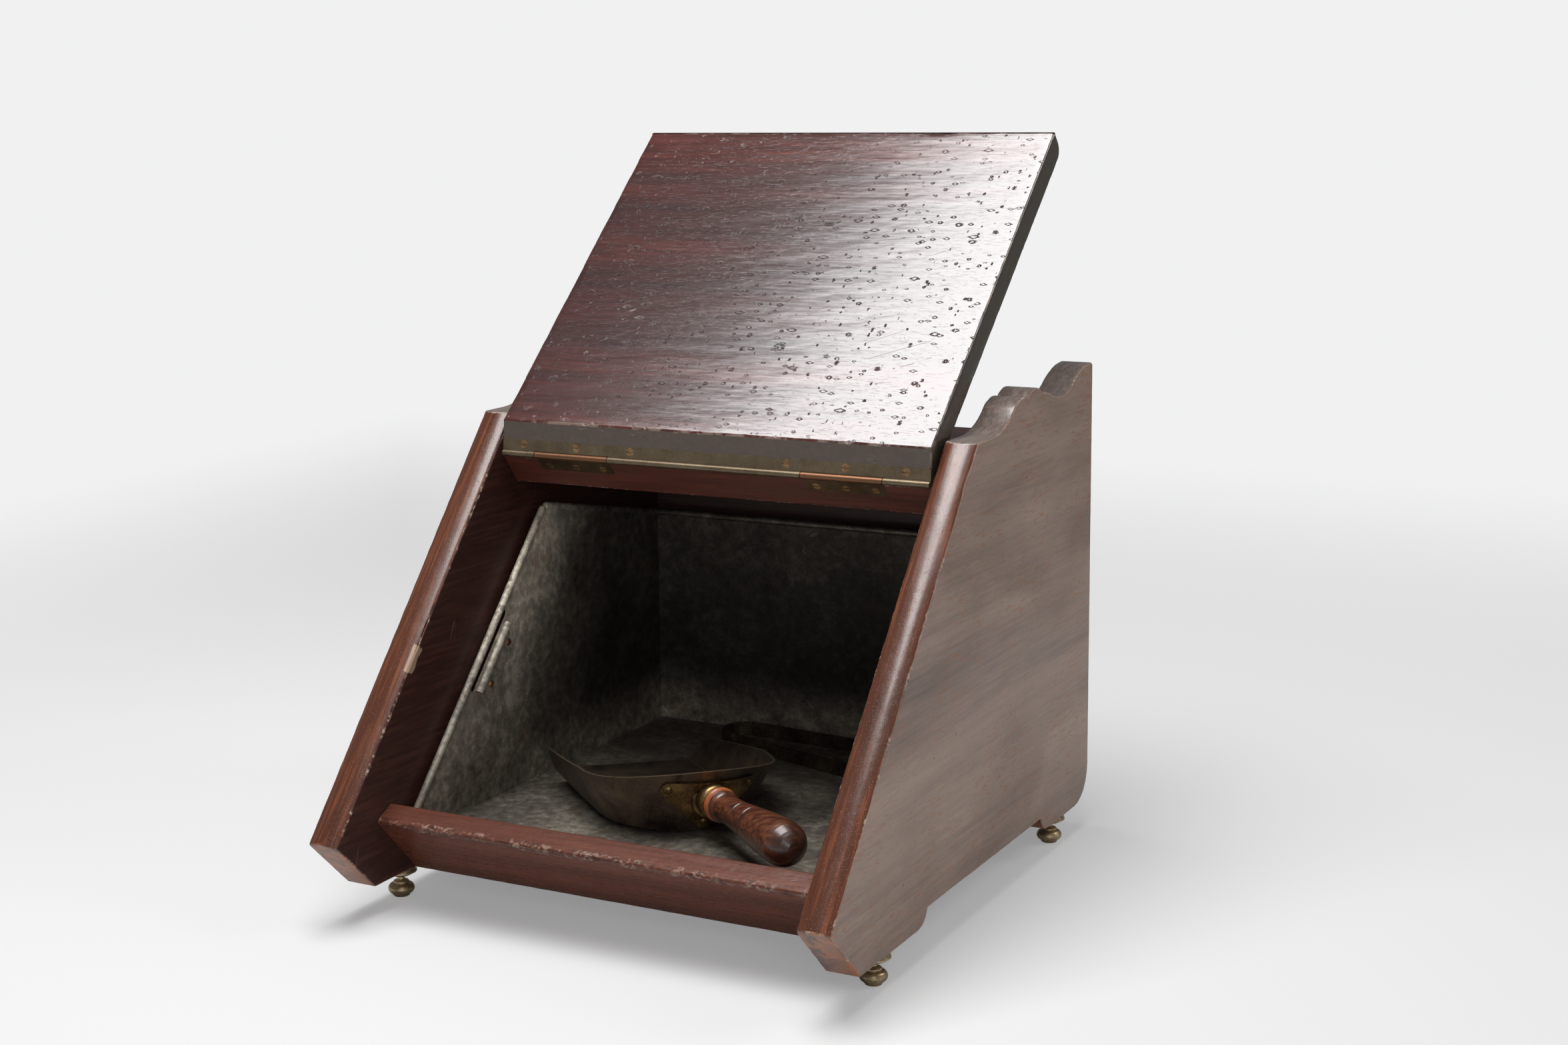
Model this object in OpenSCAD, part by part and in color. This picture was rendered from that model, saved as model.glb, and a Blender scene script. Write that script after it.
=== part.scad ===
// Slant-fronted mahogany coal box: hinged lid, loose sheet-metal liner and hand shovel.
// Millimetres, +X to the right, +Y to the back, +Z up. The floor is z = 0, and the
// origin is under the middle of the box. The lid is drawn open, on its stop.

/* [Box] */
// Outside width over the two side panels
box_w = 360; // [300:1:440]
// Depth of the side panels, front corner to rear edge
box_d = 401; // [385:1:440]
// Height of the side panels at the rear
box_h = 326; // [320:1:350]
// Thickness of the side panels
side_t = 22; // [18:1:26]
// Height of the front corner, where the slope starts
toe_h = 55.4; // [50:0.1:62]
// Run of the flat cut under that front corner
toe_run = 36; // [30:1:45]
// Angle of the sloping front edge from the floor
slope_deg = 50; // [48:0.5:52]
// Rise of the rounded nosing on the sloping edge
nosing_h = 3; // [1:0.5:5]
// Rise of the nosing at the panel's faces
nosing_step = 0.4; // [0.2:0.1:0.8]

/* [Scrolled top edge] */
// Height of the level shelf at the top of the slope
shelf_h = 299; // [290:1:305]
// Length of the level shelf
shelf_l = 20; // [12:1:26]
// Run of the front sweep, from the shelf to its crest
front_sweep = 52; // [44:1:60]
// Height of the front crest above the shelf
front_crest = 18.5; // [12:0.5:24]
// Distance from the crest to the bead's front quirk
quirk_run = 8; // [4:0.5:12]
// Depth of the quirks below the front crest
quirk_drop = 1.2; // [0.6:0.2:3]
// Width of the round bead between the sweeps
bead_w = 25.7; // [18:0.1:32]
// Rise of the bead above its quirks
bead_h = 4.7; // [2:0.1:8]
// Run from the bead's rear quirk to the dip
dip_run = 34.5; // [26:0.5:40]
// Depth of the dip below the quirk
dip_drop = 6.2; // [3:0.2:10]
// Radius of the top rear corner
crown_r = 3; // [1:0.5:6]

/* [Bracket feet of the panels] */
// Height of the flat bottoms above the floor
foot_h = 20; // [16:0.5:26]
// Height of the raised apron line between the brackets
apron_h = 30; // [27:0.5:36]
// Front end of the apron's cove, from the front corner
front_bracket = 114.5; // [100:0.5:130]
// Run of the front cove
front_cove = 14.1; // [11:0.1:20]
// Length of the rear bracket's flat and corner
rear_bracket = 76; // [66:1:90]
// Run of the rear cove
rear_cove = 12; // [11:0.5:18]
// Radius of the bottom rear corner
rear_r = 25; // [12:1:34]

/* [Boards] */
// Height of the top board's upper face
board_top = 276; // [266:1:282]
// Thickness of the top board
board_t = 24; // [20:1:28]
// Angle of the top board's front bevel below level
bevel_deg = 51.5; // [46:0.5:58]
// Thickness of the back panel
back_t = 12; // [8:1:16]
// Thickness of the bottom board
bottom_t = 13; // [9:1:16]

/* [Front rail] */
// Distance of the rail's top front arris behind the front corner
rail_y = 39; // [36:0.5:44]
// Height of that arris
rail_h = 62; // [58:0.5:66]
// Angle of the rail's face from level, leaning back as it goes down
rail_deg = 47.3; // [44:0.1:52]
// Run of the rail's top face
rail_run = 16; // [12:0.5:20]
// Rise of the rail's top face to its rear arris
rail_rise = 7.6; // [4:0.1:10]
// Radius worn on the rail's two top arrises
rail_r = 1.6; // [0.5:0.1:3]

/* [Lid] */
// Length of the lid's inner face
lid_l = 272; // [255:1:285]
// Thickness of the lid
lid_t = 18; // [14:0.5:22]
// Angle of the open lid from level
lid_deg = 42.3; // [38:0.1:50]
// Angle inside the lid's hinged inner corner
lid_end_deg = 135; // [125:1:140]
// Gap between each edge of the lid and the side panel
lid_gap = 2.6; // [1.5:0.1:4]
// Radius on the lid's outer front arris
lid_r = 9; // [4:0.5:12]

/* [Hinge] */
// Distance of the hinge axis behind the front corner
axis_y = 188; // [184:0.5:194]
// Depth of the hinge axis below the top board's upper face
axis_drop = 1.9; // [1.5:0.1:4]
// Distance of the hinge axis inside the lid's outer face
axis_inset = 2.05; // [1.8:0.05:3]
// Outside diameter of the knuckles
knuckle_d = 4.3; // [3.8:0.1:5]
// Diameter of the hinge pin
pin_d = 2.2; // [1.8:0.1:2.6]
// Running clearance of the pin in the short knuckles, on radius
pin_gap = 0.05; // [0.02:0.01:0.08]
// Gap between neighbouring knuckles
knuckle_gap = 0.4; // [0.2:0.1:1]
// Width of the long leaf on the lid's end
strip_h = 10; // [8:0.5:12]
// Thickness of the long leaf
strip_t = 1.6; // [1:0.1:2]
// Width of each short leaf, along the axis
leaf_w = 56; // [46:1:64]
// Depth of each short leaf down the bevel
leaf_h = 13.5; // [11:0.5:16]
// Thickness of each short leaf
leaf_t = 1.5; // [1:0.1:2]
// Distance of the left short leaf from the left side panel
leaf_in_left = 28.2; // [20:0.1:36]
// Distance of the right short leaf from the right side panel
leaf_in_right = 34.5; // [20:0.1:42]
// Spacing of the screws in a short leaf
leaf_pitch = 20.5; // [16:0.5:24]
// Distance of the short leaves' screws from the axis
leaf_screw = 9.4; // [7.5:0.1:11]
// Distance of the long leaf's screws from the axis
strip_screw = 6.6; // [5.5:0.1:7.5]
// Distance from the outer to the middle screw of each three in the long leaf
strip_pitch = 41; // [36:1:44]
// Distance of the outermost screws of the long leaf from the side panels
strip_in = 19; // [14:1:28]
// Diameter of a screw head
head_d = 5.4; // [4.4:0.1:6]
// Length of a screw
screw_l = 11; // [8:1:14]

/* [Turned feet] */
// Distance of the front feet behind the front corner
foot_front = 76; // [66:1:90]
// Distance of the rear feet in front of the rear edge
foot_rear = 45; // [36:1:58]
// Diameter of the flattened ball
ball_d = 17; // [14:0.5:20]
// Diameter of the flange under the panel
flange_d = 21; // [17:0.5:21.8]
// Diameter of the spigot in the panel
spigot_d = 5; // [3:0.5:8]
// Length of the spigot in the panel
spigot_l = 12; // [8:1:20]

/* [Liner] */
// Thickness of the liner's sheet
sheet_t = 1; // [0.6:0.1:1.6]
// Gap between each side of the liner and the side panel
liner_gap = 5.5; // [4:0.5:8]
// Gap behind the liner, to the back panel
liner_back_gap = 10; // [5:1:14]
// Diameter of the wired and rolled edges
roll_d = 5; // [4:0.5:6]
// Angle of the liner's wired front edges
wire_deg = 47.8; // [46:0.1:50]
// Height of the liner's highest corners above the floor
liner_peak = 231.7; // [215:0.1:240]
// Distance of those corners behind the front corner
liner_peak_y = 228.5; // [215:0.5:240]
// Height of the liner's rear edge above the floor
liner_back_h = 202; // [185:1:212]
// Gap between the liner's front lip and the rail
lip_gap = 1.2; // [0.8:0.1:3]
// Rest clearance between pieces that lie loose on one another
rest_gap = 0.3; // [0.1:0.05:0.5]

/* [Liner grips] */
// Distance of the slot's lower end up the wired edge
grip_from = 97; // [80:1:105]
// Length of the slot
grip_l = 58; // [45:1:75]
// Width of the slot
grip_w = 4.6; // [4:0.1:6]
// Diameter of the rolled bar beside the slot
bar_d = 6; // [5:0.5:8]
// Width of the riveted plate behind the bar
grip_plate_w = 16; // [14:1:22]
// Thickness of the riveted plate
grip_plate_t = 0.8; // [0.5:0.1:1.2]
// Diameter of the rivet heads
rivet_d = 5; // [4:0.5:6]
// Spacing of the two rivets
rivet_pitch = 32; // [26:1:36]

/* [Loose strap] */
// Width of the strap, standing on edge
strap_w = 10; // [8:1:14]
// Thickness of the strap
strap_t = 1.2; // [0.8:0.1:2]
// Length of the strap's loop
strap_l = 208; // [180:4:220]
// Radius of the loop's narrow end
strap_r1 = 17; // [10:0.5:20]
// Radius of the loop's wide end
strap_r2 = 32; // [24:1:36]
// Left end of the loop, from the box's middle
strap_x = 79; // [60:1:90]
// Distance of the left end in front of the box's back
strap_back = 55; // [49:1:61]
// Turn of the loop, its right end swung to the front
strap_deg = 10.7; // [8:0.1:13]

/* [Shovel] */
// Turn of the shovel, from +X to the way its mouth points
shovel_deg = 142.5; // [138:0.5:147]
// Tilt of the mouth above the back
shovel_pitch = 1.5; // [0:0.1:3]
// Tilt of the near side above the far side
shovel_roll = 2.6; // [0:0.1:4]
// Distance of the pan's back from the box's middle
shovel_x = 9; // [0:0.1:16]
// Distance of the pan's back behind the front corner
shovel_y = 156; // [152:0.1:162]
// Radius of the pan's round back, at its floor
pan_r = 49.8; // [46:0.2:52]
// Outward lean of the pan's wall
pan_lean = 26; // [20:0.5:28]
// Length of the pan's floor
pan_l = 138; // [125:1:142]
// Distance from the back to the tips of the wings
wing_l = 128; // [112:1:132]
// Height of the pan's wall at the back
pan_h = 45.3; // [38:0.1:48]
// Height of the wall where the round back ends
side_h = 32.3; // [26:0.1:36]
// Height of the wings at their tips
tip_h = 19.2; // [12:0.2:24]
// Upward bend of the near corner of the mouth
near_bend = 3; // [0:0.5:6]
// Thickness of the pan's sheet
pan_t = 1.2; // [0.8:0.1:1.6]
// Half width of the three-cornered socket plate, to its unrounded corners
plate_half = 40; // [36:1:42]
// Height of the socket plate's lower corner above the pan's bottom
plate_low = 0; // [0:0.5:3]
// Height of the socket plate's upper edge above the pan's bottom
plate_top = 37; // [34:0.5:39]
// Thickness of the socket plate
plate_t = 1.5; // [1:0.1:2]
// Radius of the socket plate's corners
plate_r = 5; // [4:0.5:7]
// Height of the socket above the pan's bottom
socket_h = 24.5; // [22:0.5:27]
// Length of the domed ferrule
ferrule_l = 15; // [12:1:20]
// Diameter of the ferrule
ferrule_d = 22; // [18:0.5:23]
// Diameter of the rivet heads in the plate
plate_rivet_d = 6; // [4:0.5:7]

/* [Shovel handle] */
// Rise of the handle towards its thick end
handle_rise = 3.6; // [0:0.1:5]
// Length of the handle behind the ferrule
handle_l = 112; // [98:1:116]
// Diameter of the ring beside the ferrule
ring_d = 22.5; // [18:0.5:24]
// Diameter at the waist
waist_d = 18; // [15:0.5:20]
// Diameter at the thick end
butt_d = 28; // [24:0.5:30]
// Length of the domed end
dome_l = 16; // [12:1:20]
// Diameter of the tang inside the handle
tang_d = 6; // [4:0.5:8]
// Length of the tang inside the handle
tang_l = 45; // [30:1:60]

/* [Hidden] */
$fn = 48;
in_w = box_w / 2 - side_t;
leaf_left = in_w - leaf_in_left - leaf_w / 2;
leaf_right = in_w - leaf_in_right - leaf_w / 2;
strip_first = in_w - strip_in - 2 * strip_pitch;
toe_deg = atan2(toe_h - foot_h, toe_run);
nosing_e = nosing_h / cos(slope_deg - toe_deg);
nosing_out = nosing_e * cos(toe_deg);
front = (nosing_out - box_d) / 2;
mahogany = [0.33, 0.16, 0.10];
dark_wood = [0.22, 0.10, 0.07];
brass = [0.50, 0.42, 0.24];
tin = [0.36, 0.36, 0.32];
bronze = [0.26, 0.21, 0.15];

// Points of a circular arc from a, where it is level, to b.
function level_arc(a, b, n = 6) =
    let (dy = b[0] - a[0], dz = b[1] - a[1])
    let (r = (dy * dy + dz * dz) / (2 * dz), t = asin(dy / r))
    [for (i = [0 : n]) [a[0] + r * sin(t * i / n), a[1] + r * (1 - cos(t * i / n))]];

function reversed(p) = [for (i = [len(p) - 1 : -1 : 0]) p[i]];

// S-shaped sweep, level at both ends, turning at the given shares of run and rise.
function sweep(a, b, ky, kz) =
    let (m = [a[0] + ky * (b[0] - a[0]), a[1] + kz * (b[1] - a[1])])
    concat(level_arc(a, m), reversed(level_arc(b, m)));

// Points of an arc about c from angle t0 to angle t1.
function arc(c, r, t0, t1, n = 6) =
    [for (i = [0 : n]) let (t = t0 + (t1 - t0) * i / n) c + r * [cos(t), sin(t)]];

// Outline with its corners rounded, one radius for each corner.
function rounded(p, rs, n = 5) =
    [for (i = [0 : len(p) - 1])
        each rs[i] <= 0 ? [p[i]] : corner(p[(i + len(p) - 1) % len(p)], p[i],
                                          p[(i + 1) % len(p)], rs[i], n)];
function unit(v) = v / norm(v);
function corner(a, b, c, r, n) =
    let (u = unit(a - b), v = unit(c - b), h = acos(u * v) / 2)
    let (o = b + unit(u + v) * r / sin(h), s = b + u * r / tan(h) - o)
    let (e = b + v * r / tan(h) - o, t0 = atan2(s[1], s[0]), t1 = atan2(e[1], e[0]))
    let (d = t1 - t0, dd = d > 180 ? d - 360 : d < -180 ? d + 360 : d)
    arc(o, r, t0, t0 + dd, n);

// Outline of the side panels, y from the front corner and z from the floor.
slope_run = (shelf_h - toe_h) / tan(slope_deg);
crest = [slope_run + shelf_l + front_sweep, shelf_h + front_crest];
quirk = crest + [quirk_run, -quirk_drop];
bead_r = (bead_w * bead_w / 4 + bead_h * bead_h) / (2 * bead_h);
bead_a = asin(bead_w / 2 / bead_r);
bead_c = quirk + [bead_w / 2, bead_h - bead_r];
dip = quirk + [bead_w + dip_run, -dip_drop];
side_pts = concat(
    [[0, toe_h], [toe_run, foot_h]],
    level_arc([front_bracket, foot_h], [front_bracket + front_cove, apron_h]),
    reversed(level_arc([box_d - rear_bracket, foot_h],
                       [box_d - rear_bracket - rear_cove, apron_h])),
    arc([box_d - rear_r, foot_h + rear_r], rear_r, -90, 0),
    arc([box_d - crown_r, box_h - crown_r], crown_r, 0, 90, 4),
    reversed(sweep(dip, [box_d - crown_r - 0.1, box_h], 0.365, 0.4)),
    reversed(sweep(quirk + [bead_w, 0], dip - [0.1, 0], 0.46, 0.5)),
    arc(bead_c, bead_r, 90 - bead_a + 0.5, 90 + bead_a, 8),
    reversed(level_arc(crest, quirk - [0.1, 0], 3)),
    reversed(sweep([slope_run + shelf_l, shelf_h], crest - [0.1, 0], 0.67, 0.61)),
    [[slope_run, shelf_h]]);
slope_l = (shelf_h - toe_h) / sin(slope_deg);
nosing_bow = nosing_h - nosing_step;
nosing_r = (side_t * side_t / 4 + nosing_bow * nosing_bow) / (2 * nosing_bow);

// Hinge axis, and the lid's own lengths seen from it.
axis_z = board_top - axis_drop;
inner_off = lid_t - axis_inset;
end_k = tan(lid_end_deg - 90);
lid_pts = rounded(
    [[inner_off * end_k, inner_off], [-axis_inset * end_k, -axis_inset],
     [inner_off * end_k + lid_l, -axis_inset], [inner_off * end_k + lid_l, inner_off]],
    [0.8, 0, lid_r, 1], 6);
lid_relief = norm([axis_inset * end_k, axis_inset]) + 0.05;
board_z = board_top - board_t;

// Front rail.
rail_u = [cos(rail_deg), -sin(rail_deg)];
rail_back = [rail_y + rail_run, rail_h + rail_rise];
function rail_at(p, z) = [p[0] + (p[1] - z) / tan(rail_deg), z];
rail_pts = rounded([[rail_y, rail_h], rail_at([rail_y, rail_h], foot_h),
                    rail_at(rail_back, foot_h), rail_back], [rail_r, 0, 0, rail_r], 4);
floor_z = apron_h + bottom_t;
inner_back = box_d - back_t;

// Liner: half width, heights and the corners of its side sheets.
liner_w = in_w - liner_gap;
pan_z = floor_z + rest_gap;
liner_y = inner_back - liner_back_gap;
peak = [liner_peak_y, liner_peak];
lip_line = rail_back + [lip_gap / sin(rail_deg), 0];
// Where the wired edge's line meets the lip's line.
wire_cot = 1 / tan(wire_deg);
lip_cot = 1 / tan(rail_deg);
wire_z = (lip_line[0] + lip_line[1] * lip_cot - peak[0] + peak[1] * wire_cot)
         / (wire_cot + lip_cot);
wire_foot = [lip_line[0] + (lip_line[1] - wire_z) * lip_cot, wire_z];
wire_l = norm(peak - wire_foot);
liner_pts = [rail_at(lip_line, pan_z), wire_foot, peak, [liner_y, liner_back_h], [liner_y, pan_z]];
top_deg = atan2(liner_back_h - liner_peak, liner_y - peak[0]);
top_l = norm([liner_y, liner_back_h] - peak);
shovel_a = sin(shovel_pitch) * cos(shovel_roll);
shovel_z = pan_z + sheet_t + rest_gap
    + pan_r * (norm([shovel_a, sin(shovel_roll)]) - shovel_a);

// Prism along X between x0 and x1, from an outline in y and z.
module prism(x0, x1, pts) {
    translate([x0, front, 0])
        rotate([90, 0, 90])
            linear_extrude(x1 - x0)
                polygon(pts);
}

// Rod along X between x0 and x1 at a place in y and z.
module rod_x(x0, x1, p, r) {
    translate([x0, front + p[0], p[1]])
        rotate([0, 90, 0])
            cylinder(h = x1 - x0, r = r);
}

// Frame with its origin at a place in y and z, and its y turned up by an angle.
module tilted(p, deg) {
    translate([0, front + p[0], p[1]])
        rotate([deg, 0, 0])
            children();
}

// Countersunk wood screw, its head's face at z = 0 and its point at -z.
module screw(slotted) {
    difference() {
        union() {
            translate([0, 0, -2.2])
                cylinder(h = 2.2, d1 = head_d * 0.5, d2 = head_d);
            translate([0, 0, -screw_l])
                cylinder(h = screw_l - 2, d = head_d * 0.48);
        }
        if (slotted)
            cube([head_d + 1, 0.8, 1.2], center = true);
    }
}

module side(x0) {
    difference() {
        union() {
            prism(x0, x0 + side_t, side_pts);
            intersection() {
                prism(x0, x0 + side_t,
                      [[0, toe_h], [-2 * nosing_out, toe_h + 2 * nosing_e * sin(toe_deg)],
                       [slope_run - 2 * nosing_h / sin(slope_deg), shelf_h],
                       [slope_run, shelf_h]]);
                tilted([0, toe_h], slope_deg)
                    translate([x0 + side_t / 2, -20, nosing_h - nosing_r])
                        rotate([-90, 0, 0])
                            cylinder(h = slope_l + 40, r = nosing_r);
            }
        }
        for (y = [foot_front, box_d - foot_rear])
            translate([x0 + side_t / 2, front + y, foot_h - 1])
                cylinder(h = spigot_l + 1, d = spigot_d);
    }
}

module side_left() color(mahogany) side(-box_w / 2);
module side_right() color(mahogany) side(box_w / 2 - side_t);

module top_board() color(mahogany) {
    off = axis_inset + rest_gap;
    difference() {
        prism(-in_w, in_w, [
            [axis_y + off * sin(lid_deg), axis_z - off * cos(lid_deg)],
            [axis_y + (axis_z - board_z) / tan(bevel_deg), board_z],
            [box_d, board_z],
            [box_d, board_top],
            [axis_y + off * sin(lid_deg) + (axis_drop + off * cos(lid_deg)) / tan(lid_deg),
             board_top]]);
        rod_x(-in_w - 1, in_w + 1, [axis_y, axis_z], lid_relief + rest_gap);
        tilted([axis_y, axis_z], -bevel_deg)
            for (x = [-leaf_left, leaf_right])
                translate([x - leaf_w / 2, -1, -3])
                    cube([leaf_w, leaf_h + 1, leaf_t + 3]);
        leaf_screw_places() screw(false);
    }
}

module back_panel() color(dark_wood)
    prism(-in_w, in_w, [[inner_back, apron_h], [box_d, apron_h], [box_d, board_z],
                        [inner_back, board_z]]);

module bottom_board() color(dark_wood)
    prism(-in_w, in_w, [rail_at(rail_back, apron_h), [inner_back, apron_h],
                        [inner_back, floor_z], rail_at(rail_back, floor_z)]);

module front_rail() color(mahogany)
    prism(-in_w, in_w, rail_pts);

module strip_screw_places() {
    tilted([axis_y, axis_z], lid_deg + 180 - lid_end_deg)
        for (side = [-1, 1], i = [0 : 2])
            translate([side * (strip_first + i * strip_pitch), strip_screw, 0])
                children();
}

module leaf_screw_places() {
    tilted([axis_y, axis_z], -bevel_deg)
        for (x = [-leaf_left, leaf_right], i = [-1 : 1])
            translate([x + i * leaf_pitch, leaf_screw, 0])
                mirror([0, 0, 1])
                    children();
}

module lid() color(dark_wood) {
    half = in_w - lid_gap;
    difference() {
        tilted([axis_y, axis_z], lid_deg)
            translate([-half, -front, 0])
                prism(0, 2 * half, lid_pts);
        rod_x(-half - 1, half + 1, [axis_y, axis_z], lid_relief);
        tilted([axis_y, axis_z], lid_deg + 180 - lid_end_deg)
            translate([-half - 1, 0, -strip_t])
                cube([2 * half + 2, strip_h, strip_t + 1]);
        strip_screw_places() screw(false);
    }
}

// Knuckle bounds of the long leaf, between and outside the two short leaves. Each knuckle
// ends a step short of its leaf's edge.
end_step = 0.1;
function strip_spans() = let (h = in_w - lid_gap - 0.4, g = knuckle_gap + end_step)
    [[-h, -leaf_left - leaf_w / 2 - g], [-leaf_left + leaf_w / 2 + g, leaf_right - leaf_w / 2 - g],
     [leaf_right + leaf_w / 2 + g, h]];

module lid_hinge_strip() color(brass) {
    half = in_w - lid_gap;
    difference() {
        union() {
            tilted([axis_y, axis_z], lid_deg + 180 - lid_end_deg)
                difference() {
                    translate([-half, 0, -strip_t])
                        cube([2 * half, strip_h, strip_t]);
                    for (x = [-leaf_left, leaf_right])
                        translate([x - leaf_w / 2 - knuckle_gap, -1, -strip_t - 1])
                            cube([leaf_w + 2 * knuckle_gap, knuckle_d / 2 + 1 + rest_gap, strip_t + 2]);
                }
            for (s = strip_spans())
                rod_x(s[0], s[1], [axis_y, axis_z], knuckle_d / 2);
        }
        rod_x(-in_w, in_w, [axis_y, axis_z], pin_d / 2);
        strip_screw_places() screw(false);
    }
}

module hinge_leaf(x) {
    difference() {
        union() {
            tilted([axis_y, axis_z], -bevel_deg)
                translate([x - leaf_w / 2, 0, 0])
                    cube([leaf_w, leaf_h, leaf_t]);
            rod_x(x - leaf_w / 2 + end_step, x + leaf_w / 2 - end_step, [axis_y, axis_z],
                  knuckle_d / 2);
        }
        rod_x(-in_w, in_w, [axis_y, axis_z], pin_d / 2 + pin_gap);
        leaf_screw_places() screw(false);
    }
}

module hinge_leaf_left() color(brass) hinge_leaf(-leaf_left);
module hinge_leaf_right() color(brass) hinge_leaf(leaf_right);

module hinge_pin() color(brass)
    rod_x(-in_w + lid_gap + 0.4, in_w - lid_gap - 0.4, [axis_y, axis_z], pin_d / 2);

module strip_screws() color(brass) strip_screw_places() screw(true);
module leaf_screws() color(brass) leaf_screw_places() screw(true);

// Turned foot: spigot, flange, thin neck, bead and flattened ball.
module foot(x, y) {
    r = ball_d / 2;
    translate([x, front + y, 0])
        rotate_extrude()
            polygon(concat(
                [[0, 0], [r * 0.6, 0]],
                arc([r * 0.6, 5], r * 0.4, -75, 60, 7),
                [[r * 0.55, 8.6]],
                arc([r * 0.5, 9.4], 0.8, -60, 80, 3),
                [[2.4, 11.2], [2.2, 12.4], [3.6, 13.2]],
                [[flange_d * 0.33, 14.3], [flange_d / 2, 16.3], [flange_d / 2, 17.2]],
                [[flange_d / 2 - 1.5, foot_h], [spigot_d / 2, foot_h],
                 [spigot_d / 2, foot_h + spigot_l], [0, foot_h + spigot_l]]));
}

module foot_front_left() color(brass) foot(-box_w / 2 + side_t / 2, foot_front);
module foot_front_right() color(brass) foot(box_w / 2 - side_t / 2, foot_front);
module foot_rear_left() color(brass) foot(-box_w / 2 + side_t / 2, box_d - foot_rear);
module foot_rear_right() color(brass) foot(box_w / 2 - side_t / 2, box_d - foot_rear);

module liner_floor() color(tin)
    prism(-liner_w + sheet_t, liner_w - sheet_t,
          [rail_at(lip_line, pan_z), [liner_y - sheet_t, pan_z],
           [liner_y - sheet_t, pan_z + sheet_t],
           rail_at(lip_line, pan_z) + [sheet_t * 0.5, sheet_t]]);

module liner_lip() color(tin) {
    low = rail_at(lip_line, pan_z + sheet_t) + [sheet_t * 1.5, 0];
    prism(-liner_w + sheet_t, liner_w - sheet_t,
          [low, low + [sheet_t / sin(rail_deg), 0],
           wire_foot + [sheet_t * 1.4 + sheet_t / sin(rail_deg), 0], wire_foot + [sheet_t * 1.4, 0]]);
}

// Frame on the wired edge: its y runs up the edge, its z points out of the liner's mouth.
module on_wire() {
    tilted(wire_foot, wire_deg)
        children();
}

module liner_side(x0) {
    difference() {
        prism(x0, x0 + sheet_t, liner_pts);
        on_wire()
            hull_slot(x0);
        grip_rivet_places(x0) cylinder(h = 4 * sheet_t, d = rivet_d * 0.45, center = true);
    }
}

// Round-ended cut for the slot beside the wired edge.
module hull_slot(x0) {
    z = -roll_d / 2 - grip_w / 2 - 0.6;
    translate([x0 - 1, grip_from, z - grip_w / 2])
        cube([sheet_t + 2, grip_l, grip_w]);
    for (y = [grip_from, grip_from + grip_l])
        translate([x0 - 1, y, z])
            rotate([0, 90, 0])
                cylinder(h = sheet_t + 2, d = grip_w);
}

bar_off = roll_d / 2 + grip_w + 0.6 + bar_d / 2;
grip_mid = grip_from + grip_l * 0.49;

module grip_rivet_places(x0) {
    on_wire()
        for (i = [-1, 1])
            translate([x0 + sheet_t / 2, grip_mid + i * rivet_pitch / 2,
                       -bar_off - grip_plate_w * 0.62])
                rotate([0, 90, 0])
                    children();
}

module liner_side_left() color(tin) liner_side(-liner_w);
module liner_side_right() color(tin) liner_side(liner_w - sheet_t);

module liner_back() color(tin)
    prism(-liner_w + sheet_t, liner_w - sheet_t,
          [[liner_y - sheet_t, pan_z], [liner_y, pan_z], [liner_y, liner_back_h],
           [liner_y - sheet_t, liner_back_h]]);

// Wire rolled into a sheet's edge, with round ends, slotted for the sheet.
module edge_wire(x0, p, deg, l0, l1) {
    r = roll_d / 2;
    difference() {
        tilted(p, deg)
            translate([x0 + sheet_t / 2, 0, 0])
                union() {
                    translate([0, l0, 0])
                        rotate([-90, 0, 0])
                            cylinder(h = l1 - l0, r = r, $fn = 24);
                    translate([0, l0, 0])
                        sphere(r = r, $fn = 24);
                    translate([0, l1, 0])
                        sphere(r = r, $fn = 24);
                }
        prism(x0, x0 + sheet_t, liner_pts);
    }
}

module liner_wire(x0) edge_wire(x0, wire_foot, wire_deg, roll_d * 0.9, wire_l - roll_d * 0.6);
module liner_wire_left() color(tin) liner_wire(-liner_w);
module liner_wire_right() color(tin) liner_wire(liner_w - sheet_t);

module liner_roll(x0) {
    difference() {
        edge_wire(x0, peak, top_deg, roll_d * 0.6, top_l - 0.1);
        translate([x0 - 10, front + liner_y - sheet_t / 2 - roll_d / 2, 0])
            cube([20 + sheet_t, 20, box_h]);
    }
}

module liner_roll_left() color(tin) liner_roll(-liner_w);
module liner_roll_right() color(tin) liner_roll(liner_w - sheet_t);

module liner_roll_back() color(tin)
    difference() {
        rod_x(-liner_w - 1, liner_w + 1, [liner_y - sheet_t / 2, liner_back_h], roll_d / 2);
        prism(-liner_w + sheet_t, liner_w - sheet_t,
              [[liner_y - sheet_t, pan_z], [liner_y, pan_z], [liner_y, liner_back_h],
               [liner_y - sheet_t, liner_back_h]]);
        prism(-liner_w, -liner_w + sheet_t, liner_pts);
        prism(liner_w - sheet_t, liner_w, liner_pts);
    }

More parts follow.
